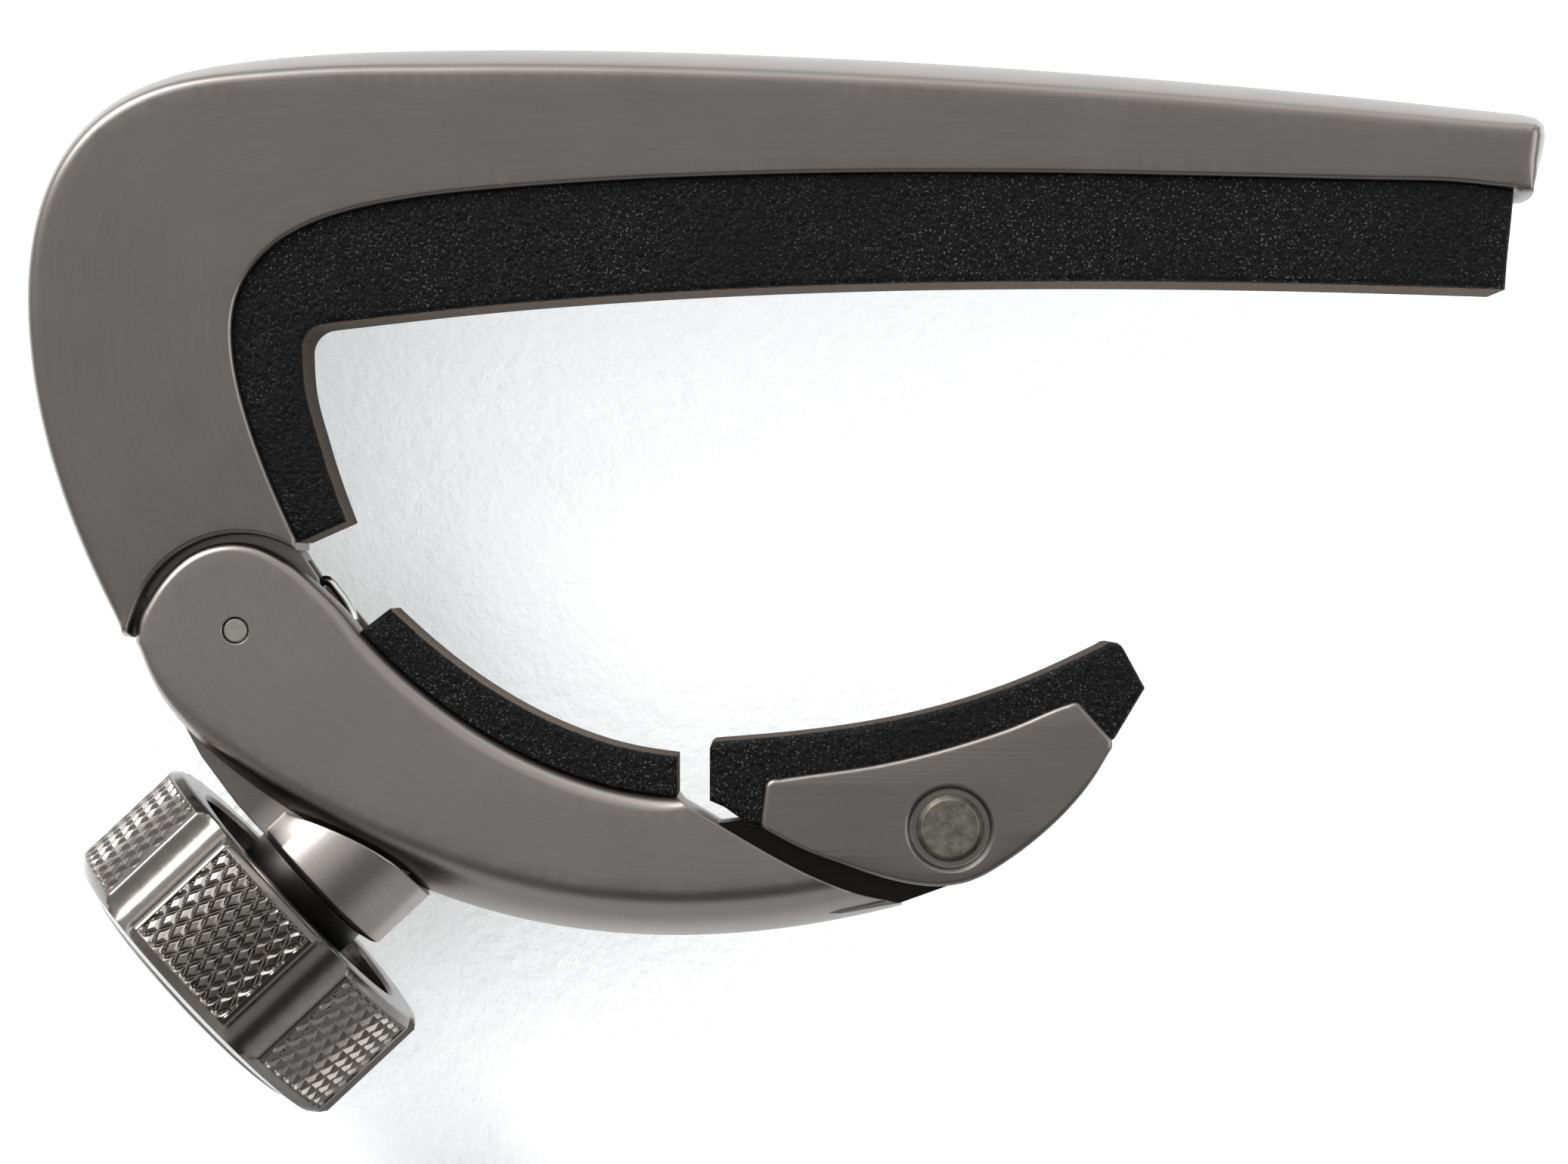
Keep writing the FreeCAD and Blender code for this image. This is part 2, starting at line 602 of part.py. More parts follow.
# Corners of the other leg after the coil, (x, y, z).
LOWER_LEG = [
    (-38.9, 1.0, -22.25), (-37.2, 0.7, -21.3), (-36.1, 0.45, -18.6), (-35.0, 0.2, -17.45),
    (-33.55, 0.03, -19.3), (-33.05, 0.0, -21.4), (-32.8, 0.0, -23.6)]


def bent(points, reach, steps):
    """Polyline with its corners rounded off."""
    rounded = [points[0]]
    for before, corner, after in zip(points, points[1:], points[2:]):
        length_in, length_out = (before - corner).Length, (corner - after).Length
        trim = min(reach, 0.45 * length_in, 0.45 * length_out)
        start = corner + (before - corner) * (trim / length_in)
        end = corner + (after - corner) * (trim / length_out)
        for k in range(steps + 1):
            f = k / steps
            rounded.append(start * ((1 - f) ** 2) + corner * (2 * f * (1 - f)) + end * (f * f))
    return rounded + [points[-1]]


def triangle(a, b, c):
    return Part.Face(Part.makePolygon([a, b, c, a]))


def wire_solid(path, radius, sides):
    """Closed solid of flat facets, a wire of a given radius along a path of points."""
    rings = []
    normal = V(0, 1, 0)
    for k, point in enumerate(path):
        tangent = (path[min(k + 1, len(path) - 1)] - path[max(k - 1, 0)]).normalize()
        normal = (normal - tangent * normal.dot(tangent)).normalize()
        binormal = tangent.cross(normal)
        ring = []
        for s in range(sides):
            angle = 2 * math.pi * s / sides
            ring.append(point + normal * (radius * math.cos(angle))
                        + binormal * (radius * math.sin(angle)))
        rings.append(ring)
    faces = []
    for ring, following in zip(rings, rings[1:]):
        for s in range(sides):
            after = (s + 1) % sides
            faces.append(triangle(ring[s], ring[after], following[after]))
            faces.append(triangle(ring[s], following[after], following[s]))
    for ring in (rings[0], rings[-1]):
        middle = V(0, 0, 0)
        for corner in ring:
            middle = middle + corner * (1.0 / sides)
        for s in range(sides):
            faces.append(triangle(middle, ring[s], ring[(s + 1) % sides]))
    skin = Part.makeCompound(faces)
    skin.sewShape()
    solid = Part.makeSolid(skin.Shells[0])
    if solid.Volume < 0:
        solid.reverse()
    return solid


def make_spring():
    """Coils round the pin, one leg up in the tongue, the other by the slot's end wall."""
    hinge_x, hinge_z = num(HINGE[0]), num(HINGE[1])
    radius = SIZES["coil_mean"] / 2
    coil_width = SIZES["coil_step"] * COIL_TURNS
    start_y = -coil_width / 2
    path = [V(hinge_x - radius, start_y, hinge_z + up) for up in UPPER_LEG_HEIGHTS]
    for i in range(COIL_STEPS + 1):
        angle = math.pi + 2 * math.pi * COIL_TURNS * i / COIL_STEPS
        path.append(V(hinge_x + radius * math.cos(angle),
                      start_y + coil_width * i / COIL_STEPS,
                      hinge_z + radius * math.sin(angle)))
    leg = bent([path[-1]] + [V(*corner) for corner in LOWER_LEG], reach=0.85, steps=3)
    spring = doc.addObject("Part::Feature", "torsion_spring")
    spring.Label = "torsion_spring"
    spring.Shape = wire_solid(path + leg[1:], SIZES["wire_dia"] / 2, WIRE_SIDES)
    return spring


# ------------------------------------------------------------------ screw set
# Heights from here to the cap run outwards from the knob's inner rim, so points
# towards the arm are negative.
def make_insert():
    bore, low, high = size("insert_bore") / 2, -size("insert_top"), size("neck_out")
    return turned_part("boss_insert", KNOB, OUTWARD, [
        (bore, high), (INSERT_RADIUS, high), (INSERT_RADIUS, low), (bore, low)])


def make_screw():
    tip, step = size("screw_tip"), size("screw_step")
    head_low, head_top = size("head_low"), size("head_top")
    groove_low, groove_high = -7.35, -6.9  # groove for the clip
    groove_radius = SCREW_TIP_RADIUS - 0.22
    chamfer, head_chamfer = 0.25, 0.2
    return turned_part("adjusting_screw", KNOB, OUTWARD, [
        (0, -tip), (SCREW_TIP_RADIUS, -tip), (SCREW_TIP_RADIUS, groove_low),
        (groove_radius, groove_low), (groove_radius, groove_high),
        (SCREW_TIP_RADIUS, groove_high), (SCREW_TIP_RADIUS, -step),
        (SCREW_RADIUS - chamfer, -step), (SCREW_RADIUS, chamfer - step),
        (SCREW_RADIUS, head_low), (HEAD_RADIUS, head_low),
        (HEAD_RADIUS, head_top - head_chamfer), (HEAD_RADIUS - head_chamfer, head_top),
        (0, head_top)])


def make_jam_nut():
    """Hexagonal nut against the floor of the knob's recess."""
    nut = body("screw_jam_nut")
    half_flats = size("nut_flats") / 2
    corner = size("nut_flats") / 1.7320508
    sk = polygon(sketch(nut, "nut_outline", "XY_Plane"), [
        (corner, 0), (corner / 2, half_flats), (-corner / 2, half_flats),
        (-corner, 0), (-corner / 2, -half_flats), (corner / 2, -half_flats)])
    circle(sk, (0, 0), SCREW_RADIUS)
    block = nut.newObject("PartDesign::Pad", "nut_block")
    block.Profile = sk
    block.setExpression("Length", size("nut_thick").expression)
    doc.recompute()
    return place(nut, axis_point(-RECESS_FLOOR + size("nut_thick"), 0), OUTWARD)


def make_foot():
    """Foot on the screw's tip, with a wider room for the clip at its open end."""
    radius, low, shoulder = size("foot_dia") / 2, -size("foot_low"), -size("foot_shoulder")
    clip_room, clip_room_floor = CLIP_RADIUS + 0.1, -7.5
    socket, socket_floor = SCREW_TIP_RADIUS + 0.06, -8.3
    return turned_part("thrust_foot", KNOB, OUTWARD, [
        (clip_room, low), (radius, low), (radius, shoulder),
        (1.65, -8.48), (0.9, -8.82), (0, -size("foot_tip")),
        (0, socket_floor), (socket, socket_floor), (socket, clip_room_floor),
        (clip_room, clip_room_floor)])


def make_clip():
    bore, low, high = size("clip_bore") / 2, -7.32, -6.93
    return turned_part("foot_clip", KNOB, OUTWARD, [
        (bore, low), (CLIP_RADIUS, low), (CLIP_RADIUS, high), (bore, high)])


def make_anvil():
    chamfer = 0.2
    return turned_part("anvil", KNOB, OUTWARD, [
        (0, -ANVIL_FACE), (ANVIL_RADIUS - chamfer, -ANVIL_FACE),
        (ANVIL_RADIUS, -chamfer - ANVIL_FACE), (ANVIL_RADIUS, -ANVIL_BACK),
        (0, -ANVIL_BACK)])


# ------------------------------------------------------------------ knob and cap
def make_knob():
    """Cup open to the frame, with scallops round the rim and a seat for the cap."""
    radius, recess, length = size("knob_dia") / 2, size("recess_dia") / 2, size("knob_len")
    head_room = HEAD_RADIUS + 0.1
    knob = turned_body("knob", [
        (recess, 0.25), (recess + 0.25, 0), (radius - 0.5, 0), (radius, 0.5),
        (radius, length - 0.5), (radius - 0.55, length + 0.25),
        (CAP_RADIUS, length + 0.62), (CAP_RADIUS, CAP_SEAT),
        (head_room, CAP_SEAT), (head_room, size("head_low")),
        (SCREW_RADIUS, size("head_low")), (SCREW_RADIUS, RECESS_FLOOR),
        (recess - 0.4, RECESS_FLOOR), (recess, RECESS_FLOOR - 0.4)])

    phase = math.radians(SIZES["flute_phase"])
    reach = size("flute_centre")
    sk = circle(sketch(knob, "flute_outline", "XY_Plane"),
                (reach * math.cos(phase), reach * math.sin(phase)), size("flute_cutter"))
    before = knob.Tip.Shape.Volume
    flute = knob.newObject("PartDesign::Pocket", "flute")
    flute.Profile = sk
    flute.SideType = "Symmetric"
    flute.Type = 1  # through all
    finish(flute, before)

    around = knob.newObject("PartDesign::PolarPattern", "flutes")
    around.Originals = [flute]
    around.Axis = (origin_feature(knob, "Z_Axis"), [""])
    around.Angle = 360
    around.setExpression("Occurrences", "Sizes.flute_count")
    knob.Tip = around
    doc.recompute()
    return place(knob, KNOB, OUTWARD)


def make_cap():
    """Domed cap set in the knob's outer end."""
    length = size("knob_len")
    return turned_part("knob_cap", KNOB, OUTWARD, [
        (0, CAP_SEAT), (CAP_RADIUS, CAP_SEAT), (CAP_RADIUS, length + 0.55),
        (8.3, length + 0.8), (6.2, length + 1.12), (3.4, length + 1.33),
        (0, size("cap_top"))])


# ------------------------------------------------------------------ rivet and bush
def make_rivet():
    shank, head, chamfer = size("rivet_dia") / 2, size("rivet_head") / 2, 0.3
    end = size("plate_outer") / 2
    seat = end - size("spot_depth")
    return turned_part("pivot_rivet", RIVET, ALONG_Y, [
        (0, -end), (head - chamfer, -end), (head, chamfer - end), (head, -seat),
        (shank, -seat), (shank, seat),
        (head, seat), (head, end - chamfer), (head - chamfer, end), (0, end)])


def make_rivet_bush():
    bore, outer = size("rivet_bush_bore") / 2, size("rivet_bush_outer") / 2
    end = NOSE_WIDTH / 2
    return turned_part("rivet_bush", RIVET, ALONG_Y, [
        (bore, -end), (outer, -end), (outer, end), (bore, end)])


# ------------------------------------------------------------------ build, check and write
washer_inside = TONGUE_HALF + 0.02
nodes = [
    make_upper_frame(),
    make_string_pad(),
    make_lower_arm(),
    make_fixed_pad(),
    make_carriage(),
    make_swivel_pad(),
    make_hinge_pin(),
    ring_pair("hinge_bushes", HINGE, outer=size("bush_outer"), bore=size("bush_bore"),
              inside=size("spring_slot") / 2, outside=TONGUE_HALF),
    ring_pair("hinge_washers", HINGE, outer=size("washer_outer"), bore=size("bush_bore"),
              inside=washer_inside, outside=washer_inside + size("washer_thick")),
    ring_pair("carriage_washers", RIVET, outer=size("spacer_outer"),
              bore=size("rivet_bush_bore"), inside=NOSE_WIDTH / 2 + size("spacer_gap"),
              outside=size("plate_inner") / 2),
    make_spring(),
    make_insert(),
    make_screw(),
    make_jam_nut(),
    make_foot(),
    make_clip(),
    make_anvil(),
    make_knob(),
    make_cap(),
    make_rivet(),
    make_rivet_bush(),
]

doc.recompute()
for obj in doc.Objects:
    bad = [state for state in obj.State if state in ("Invalid", "Error")]
    if bad:
        raise RuntimeError("%s is %s" % (obj.Label, bad))
for node in nodes:
    shape = node.Shape
    if shape.isNull() or not shape.isValid() or not shape.Solids:
        raise RuntimeError("%s has no sound solid" % node.Label)
    shape.exportStep(os.path.join("parts", node.Label + ".step"))
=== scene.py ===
"""Guitar capo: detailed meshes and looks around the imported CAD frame.

The profile lies in the XZ plane, +Z up, and Y runs across the width. The string bar runs along
the top towards +X, the hinge is at the -X end, the arm curves below, and the knob points down
towards -X. Sizes are millimetres in the frame's own place; meshes are built in metres. Lights,
camera and paper are placed in metres.
"""

import math

import bmesh
import bpy
import numpy as np
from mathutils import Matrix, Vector
from mathutils.geometry import delaunay_2d_cdt, tessellate_polygon


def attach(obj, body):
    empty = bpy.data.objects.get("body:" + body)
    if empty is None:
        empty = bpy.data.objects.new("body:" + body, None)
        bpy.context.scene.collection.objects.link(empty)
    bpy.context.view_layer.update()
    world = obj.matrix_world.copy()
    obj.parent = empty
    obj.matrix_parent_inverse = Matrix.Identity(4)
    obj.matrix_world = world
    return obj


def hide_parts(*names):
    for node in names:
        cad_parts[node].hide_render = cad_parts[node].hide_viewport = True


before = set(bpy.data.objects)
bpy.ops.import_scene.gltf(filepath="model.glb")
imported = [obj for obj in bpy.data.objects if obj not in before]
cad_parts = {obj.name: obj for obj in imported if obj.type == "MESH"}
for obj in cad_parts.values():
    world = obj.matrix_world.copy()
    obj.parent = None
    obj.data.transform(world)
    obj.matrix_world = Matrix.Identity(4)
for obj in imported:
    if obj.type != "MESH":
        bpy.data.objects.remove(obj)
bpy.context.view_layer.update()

MM = 0.001
scene = bpy.context.scene

# ------------------------------------------------------------------ sizes
HALF = 6.3  # half the width of the frame and arm
PAD_HALF = 5.7
CHEEK_HALF = 6.1
TONGUE_HALF = 3.4  # tongue of the frame and nose of the arm
SLOT_HALF = 3.7  # slot in the arm, around the tongue
THROUGH = 8.0  # half length of tools that cut the whole width

HINGE_X, HINGE_Z = -40.0, -20.7
RIVET_X, RIVET_Z = 2.565, -32.49
SCREW_X, SCREW_Z = -36.784, -36.897
DIR_X, DIR_Z = 0.7307, 0.6827  # screw direction, from the knob up into the frame
HINGE_AT = (HINGE_X, 0.0, HINGE_Z)
RIVET_AT = (RIVET_X, 0.0, RIVET_Z)
SCREW_AT = (SCREW_X, 0.0, SCREW_Z)
SCREW_AXIS = (DIR_X, 0.0, DIR_Z)
OUTWARD = (-DIR_X, 0.0, -DIR_Z)
SCREW_SIDE = (-DIR_Z, 0.0, DIR_X)
X_AXIS, Y_AXIS = (1, 0, 0), (0, 1, 0)

# Measured outlines, as (x, z).
FRAME_TIP = [
    (37.45, 5.2), (37.85, 6.26), (38.34, 7.81), (38.54, 8.91), (38.45, 9.7), (38.0, 10.16),
    (37.12, 10.39)]
FRAME_OUTER = [
    (37.12, 10.39), (32.34, 10.91), (27.55, 11.4), (22.76, 11.86), (17.96, 12.29), (13.17, 12.68),
    (8.36, 13.04), (3.56, 13.36), (-1.24, 13.64), (-6.05, 13.87), (-10.86, 14.06), (-15.67, 14.2),
    (-20.48, 14.28), (-25.29, 14.29), (-30.11, 14.22), (-34.92, 14.03), (-39.71, 13.58),
    (-44.43, 12.63), (-48.63, 10.38), (-51.47, 6.53), (-52.7, 1.88), (-52.77, -2.94),
    (-52.11, -7.69), (-50.83, -12.33), (-49.06, -16.82), (-46.91, -21.11)]
FRAME_UNDER = [
    (-36.42, -15.2), (-37.94, -11.78), (-39.22, -8.29), (-40.09, -4.63), (-39.95, -0.95),
    (-37.86, 2.1), (-34.59, 3.86), (-30.94, 4.78), (-27.25, 5.31), (-23.53, 5.65), (-19.81, 5.93),
    (-16.08, 6.15), (-12.35, 6.31), (-8.61, 6.43), (-4.88, 6.51), (-1.14, 6.55), (2.6, 6.56),
    (6.34, 6.54), (10.08, 6.5), (13.81, 6.43), (17.54, 6.35), (21.28, 6.27), (25.01, 6.18),
    (28.75, 6.1), (32.49, 6.0), (36.18, 5.58)]
PAD_WORK = [
    (35.68, -0.38), (26.88, -0.12), (18.08, 0.05), (9.27, 0.1), (0.46, 0.01), (-8.34, -0.26),
    (-17.12, -0.74), (-25.9, -1.45), (-34.65, -2.43)]
PAD_LEG = [
    (-36.05, -4.1), (-35.93, -6.0), (-35.6, -7.6), (-35.2, -8.95), (-34.84, -10.2),
    (-34.4, -11.55), (-33.92, -12.9), (-33.41, -14.22)]
ARM_END = [
    (-46.15, -21.4), (-45.85, -20.1), (-45.4, -19.2), (-44.76, -18.15), (-43.9, -17.1),
    (-42.8, -16.2), (-41.56, -15.65), (-40.2, -15.45), (-38.89, -15.62), (-37.7, -16.1),
    (-36.4, -16.9), (-34.7, -18.35), (-33.3, -19.72), (-32.5, -20.7)]
ARM_INNER = [
    (-32.5, -20.7), (-30.6, -22.63), (-28.54, -24.42), (-26.34, -26.03), (-24.02, -27.45),
    (-21.57, -28.64), (-19.03, -29.58), (-16.4, -30.24), (-13.7, -30.6)]
ARM_OUTER = [
    (3.6, -36.1), (-0.25, -37.33), (-3.27, -38.03), (-6.33, -38.58), (-9.42, -38.95),
    (-12.52, -39.13), (-15.62, -39.11), (-18.71, -38.88), (-21.76, -38.43), (-24.78, -37.74),
    (-27.74, -36.81), (-30.63, -35.65), (-33.42, -34.27), (-36.11, -32.68), (-38.67, -30.9),
    (-41.08, -28.93), (-43.27, -26.76), (-45.04, -24.29), (-46.15, -21.4)]
STEP_CUT = [
    (-13.32, -31.09), (-11.26, -32.28), (-9.19, -33.5), (-7.09, -34.67), (-4.93, -35.7),
    (-2.7, -36.52), (-0.36, -37.05)]
FIXED_TOP = [
    (-30.82, -19.39), (-28.76, -21.27), (-26.55, -23.02), (-24.21, -24.57), (-21.74, -25.91),
    (-19.16, -26.99), (-16.48, -27.77), (-13.7, -28.21)]
SWIVEL_TOP = [
    (-11.21, -27.31), (-7.26, -26.98), (-3.32, -26.49), (0.57, -25.75), (4.39, -24.69),
    (8.1, -23.3), (11.7, -21.62)]
CHEEK_TOP = [
    (-7.7, -29.54), (-6.3, -29.33), (-2.7, -28.83), (0.9, -28.08), (4.5, -27.04),
    (6.75, -26.23), (9.2, -25.2), (9.9, -24.97)]
CHEEK_BELLY = [
    (12.06, -27.96), (11.16, -29.45), (9.0, -32.0), (5.76, -34.6), (3.62, -35.7), (2.4, -35.93),
    (-0.68, -35.64), (-3.92, -34.67), (-6.3, -33.78), (-8.62, -32.53)]


def on_axis(along, across):
    """The (x, z) of a place along and across the screw axis."""
    return (SCREW_X + DIR_X * along - DIR_Z * across, SCREW_Z + DIR_Z * along + DIR_X * across)


# ------------------------------------------------------------------ outlines
def spline(points, step):
    """Natural cubic spline through points, sampled about every step."""
    pts = np.array(points, float)
    gap = np.hypot(*np.diff(pts, axis=0).T)
    run = np.r_[0, np.cumsum(gap)]
    count = len(pts)
    system, target = np.zeros((count, count)), np.zeros((count, 2))
    system[0, 0] = system[-1, -1] = 1
    for i in range(1, count - 1):
        system[i, i - 1] = gap[i - 1]
        system[i, i] = 2 * (gap[i - 1] + gap[i])
        system[i, i + 1] = gap[i]
        target[i] = 6 * ((pts[i + 1] - pts[i]) / gap[i] - (pts[i] - pts[i - 1]) / gap[i - 1])
    bend = np.linalg.solve(system, target)
    at = np.linspace(0, run[-1], max(3, int(math.ceil(run[-1] / step)) + 1))
    k = np.clip(np.searchsorted(run, at, "right") - 1, 0, count - 2)
    span = gap[k][:, None]
    left = (run[k + 1] - at)[:, None]
    right = (at - run[k])[:, None]
    cubic = (bend[k] * left ** 3 + bend[k + 1] * right ** 3) / (6 * span)
    return (cubic + (pts[k] / span - bend[k] * span / 6) * left
            + (pts[k + 1] / span - bend[k + 1] * span / 6) * right)


def straight(points, step):
    """Straight runs between points, divided about every step."""
    out = []
    for a, b in zip(points, points[1:]):
        a, b = np.array(a, float), np.array(b, float)
        count = max(1, int(math.ceil(np.hypot(*(b - a)) / step)))
        out += [a + (b - a) * i / count for i in range(count)]
    return np.array(out + [np.array(points[-1], float)])


def arc(points, step):
    """Circular arc from the first point through the second to the third."""
    (ax, ay), (bx, by), (cx, cy) = points
    a_sq, b_sq, c_sq = (ax * ax + ay * ay), (bx * bx + by * by), (cx * cx + cy * cy)
    d = 2 * (ax * (by - cy) + bx * (cy - ay) + cx * (ay - by))
    mid_x = (a_sq * (by - cy) + b_sq * (cy - ay) + c_sq * (ay - by)) / d
    mid_y = (a_sq * (cx - bx) + b_sq * (ax - cx) + c_sq * (bx - ax)) / d
    radius = math.hypot(ax - mid_x, ay - mid_y)
    start, via, end = (math.atan2(y - mid_y, x - mid_x) for x, y in points)
    sweep = (end - start) % (2 * math.pi)
    if (via - start) % (2 * math.pi) > sweep:
        sweep -= 2 * math.pi
    count = max(3, int(math.ceil(abs(sweep) * radius / step)))
    angles = [start + sweep * i / count for i in range(count + 1)]
    return np.array([(mid_x + radius * math.cos(a), mid_y + radius * math.sin(a)) for a in angles])


def chain(pieces, step):
    """Closed outline from joined pieces: points and the number of the piece each belongs to."""
    samplers = {"curve": spline, "line": straight, "arc": arc}
    pts, tags = [], []
    for tag, (kind, points) in enumerate(pieces):
        for q in samplers[kind](points, step):
            if pts and np.hypot(*(q - pts[-1])) < 1e-4:
                continue
            pts.append(q)
            tags.append(tag)
    if np.hypot(*(pts[0] - pts[-1])) < 1e-4:
        pts.pop()
        tags.pop()
    return np.array(pts), np.array(tags)


def area(pts):
    after = np.roll(pts, -1, axis=0)
    return 0.5 * float(np.sum(pts[:, 0] * after[:, 1] - after[:, 0] * pts[:, 1]))


def smoothed(values, pts, sigma):
    """Values on a closed outline, blurred along its length."""
    v = np.array(values, float)
    seg = np.hypot(*(np.roll(pts, -1, axis=0) - pts).T)
    run = np.r_[0, np.cumsum(seg)[:-1]]
    apart = np.abs(run[:, None] - run[None, :])
    apart = np.minimum(apart, float(seg.sum()) - apart)
    weight = np.exp(-0.5 * (apart / sigma) ** 2) * ((seg + np.roll(seg, 1)) / 2)[None, :]
    return ((weight @ v.reshape(len(v), -1)) / weight.sum(1)[:, None]).reshape(v.shape)


def normals(pts):
    """Outward normals of a closed outline."""
    t = np.roll(pts, -1, axis=0) - np.roll(pts, 1, axis=0)
    t /= np.hypot(*t.T)[:, None] + 1e-12
    out = np.c_[t[:, 1], -t[:, 0]]
    return out if area(pts) > 0 else -out


# ------------------------------------------------------------------ meshes
def finish_mesh(o, sharp=32):
    """Welds, turns faces outward and shades smooth, with sharp edges above an angle."""
    bm = bmesh.new()
    bm.from_mesh(o.data)
    bmesh.ops.remove_doubles(bm, verts=bm.verts, dist=2e-7)
    bmesh.ops.recalc_face_normals(bm, faces=bm.faces)
    for f in bm.faces:
        f.smooth = True
    bm.to_mesh(o.data)
    bm.free()
    o.data.set_sharp_from_angle(angle=math.radians(sharp))
    return o


def build(name, verts, faces, uv=None, sharp=32):
    """Object from vertices in millimetres."""
    me = bpy.data.meshes.new(name)
    me.from_pydata([tuple(float(c) * MM for c in v) for v in verts], [],
                   [tuple(int(i) for i in f) for f in faces])
    layer = me.uv_layers.new(name="flow")
    if uv is None:
        uv = [(v[0], v[2] + v[1]) for v in verts]
    flat = np.array([uv[l.vertex_index] for l in me.loops], np.float32).reshape(-1)
    layer.data.foreach_set("uv", flat)
    o = bpy.data.objects.new(name, me)
    scene.collection.objects.link(o)
    return finish_mesh(o, sharp)


def filled(ring, gap):
    """Triangles over an outline with evenly spread points inside it. Returns the points added
    and the triangles; numbers below len(ring) are the outline's own."""
    low, high = ring.min(0), ring.max(0)
    gx, gy = np.meshgrid(np.arange(low[0], high[0], gap), np.arange(low[1], high[1], gap * 0.866))
    gx = gx + (np.arange(gx.shape[0]) % 2)[:, None] * gap / 2
    grid = np.c_[gx.ravel(), gy.ravel()]
    inside = np.zeros(len(grid), bool)
    for (ax, ay), (bx, by) in zip(ring, np.roll(ring, -1, axis=0)):
        if ay != by:
            crossing = (bx - ax) * (grid[:, 1] - ay) / (by - ay) + ax
            inside ^= ((ay > grid[:, 1]) != (by > grid[:, 1])) & (grid[:, 0] < crossing)
    grid = grid[inside]
    near = np.full(len(grid), 1e9)
    for q in ring:
        near = np.minimum(near, ((grid - q) ** 2).sum(1))
    grid = grid[near > (0.5 * gap) ** 2]
    points = [Vector(q) for q in ring] + [Vector(q) for q in grid]
    out = delaunay_2d_cdt(points, [], [list(range(len(ring)))], 1, 1e-6)
    new, tris, origin = out[0], out[2], out[3]
    number, extra = {}, []
    for k, source in enumerate(origin):
        if source:
            number[k] = source[0]
        else:
            number[k] = len(points) + len(extra)
            extra.append(tuple(new[k]))
    return [tuple(q) for q in grid] + extra, [[number[k] for k in t] for t in tris]


def grain(points, y, line):
    """UVs in millimetres: along and across the grain line, or straight without one."""
    pts = np.array(points, float)
    if line is None:
        return np.c_[pts[:, 0], pts[:, 1] + y].tolist()
    along = np.r_[0, np.cumsum(np.hypot(*np.diff(line, axis=0).T))]
    near = ((pts[:, None, :] - line[None]) ** 2).sum(2).argmin(1)
    last = len(line) - 1
    t = line[np.clip(near + 1, 0, last)] - line[np.clip(near - 1, 0, last)]
    t /= np.hypot(*t.T)[:, None]
    off = pts - line[near]
    return np.c_[along[near] + (off * t).sum(1),
                 off[:, 0] * -t[:, 1] + off[:, 1] * t[:, 0] + y].tolist()


def bar(name, pieces, half, inset, rounding, step=0.4, rows=13, spread=1.0, line=None,
        crowned=(), brim=0.5):
    """Closed solid across the width from an outline. inset(x, z, tag) is how far the side
    face's edge lies inside the middle outline, and rounding(x, z, tag) how wide the rounding is.
    Pieces in crowned have a shallow arched face that meets the side at a small round edge."""
    pts, tags = chain(pieces, step)
    count = len(pts)
    c = smoothed([inset(x, z, t) for (x, z), t in zip(pts, tags)], pts, 0.9)
    e = smoothed([rounding(x, z, t) for (x, z), t in zip(pts, tags)], pts, 0.9)
    arched = smoothed([1.0 if t in crowned else 0.0 for t in tags], pts, 0.7)
    out = smoothed(normals(pts), pts, spread)
    out /= np.hypot(*out.T)[:, None]

    flat_y = half - e
    lip = np.minimum(brim * 1.15, c * 0.55)
    top = c - lip
    split = rows - 4  # the last four rows turn the small round edge
    profile = []
    for k in range(rows + 1):
        phi = 0.5 * math.pi * k / rows
        round_y = flat_y + (half - flat_y) * math.sin(phi)
        round_in = c * (1 - math.cos(phi))
        if k <= split:
            crown_y = 0.4 + (half - brim - 0.4) * k / split
            crown_in = top * (crown_y / half) ** 2
        else:
            t = (k - split) / 4
            start = top * ((half - brim) / half) ** 2
            crown_y = (1 - t) ** 2 * (half - brim) + 2 * t * (1 - t) * half + t * t * half
            crown_in = (1 - t) ** 2 * start + 2 * t * (1 - t) * top + t * t * (top + lip)
        profile.append((arched * crown_y + (1 - arched) * round_y,
                        arched * crown_in + (1 - arched) * round_in))
    layers = [(-y, f) for y, f in profile[::-1]] + profile
    if line is not None:
        line = spline(line, 0.5)

    verts, uv, faces = [], [], []
    for y, f in layers:
        ring = pts - out * f[:, None]
        verts += [(ring[i, 0], y[i], ring[i, 1]) for i in range(count)]
        uv += grain(ring, y, line)
    for a in range(len(layers) - 1):
        low, high = a * count, (a + 1) * count
        for i in range(count):
            j = (i + 1) % count
            faces.append((low + i, low + j, high + j, high + i))
    for a, side in ((0, -half), (len(layers) - 1, half)):
        if line is None:
            added, tris = [], tessellate_polygon([[Vector((x, z, 0)) for x, z in ring]])
        else:
            added, tris = filled(ring, gap=1.0)
            uv += grain(added, side, line)
        base = len(verts)
        verts += [(x, side, z) for x, z in added]
        for tri in tris:
            tri = [a * count + k if k < count else base + k - count for k in tri]
            faces.append(tri[::-1] if side > 0 else tri)
    return build(name, verts, faces, uv)


def prism(name, pts, half):
    """Straight closed solid across the width, used to cut or join."""
    n = len(pts)
    verts = [(x, -half, z) for x, z in pts] + [(x, half, z) for x, z in pts]
    faces = [(i, (i + 1) % n, n + (i + 1) % n, n + i) for i in range(n)]
    for tri in tessellate_polygon([[Vector((x, z, 0)) for x, z in pts]]):
        faces.append(tuple(tri))
        faces.append(tuple(n + i for i in reversed(tri)))
    return build(name, verts, faces)


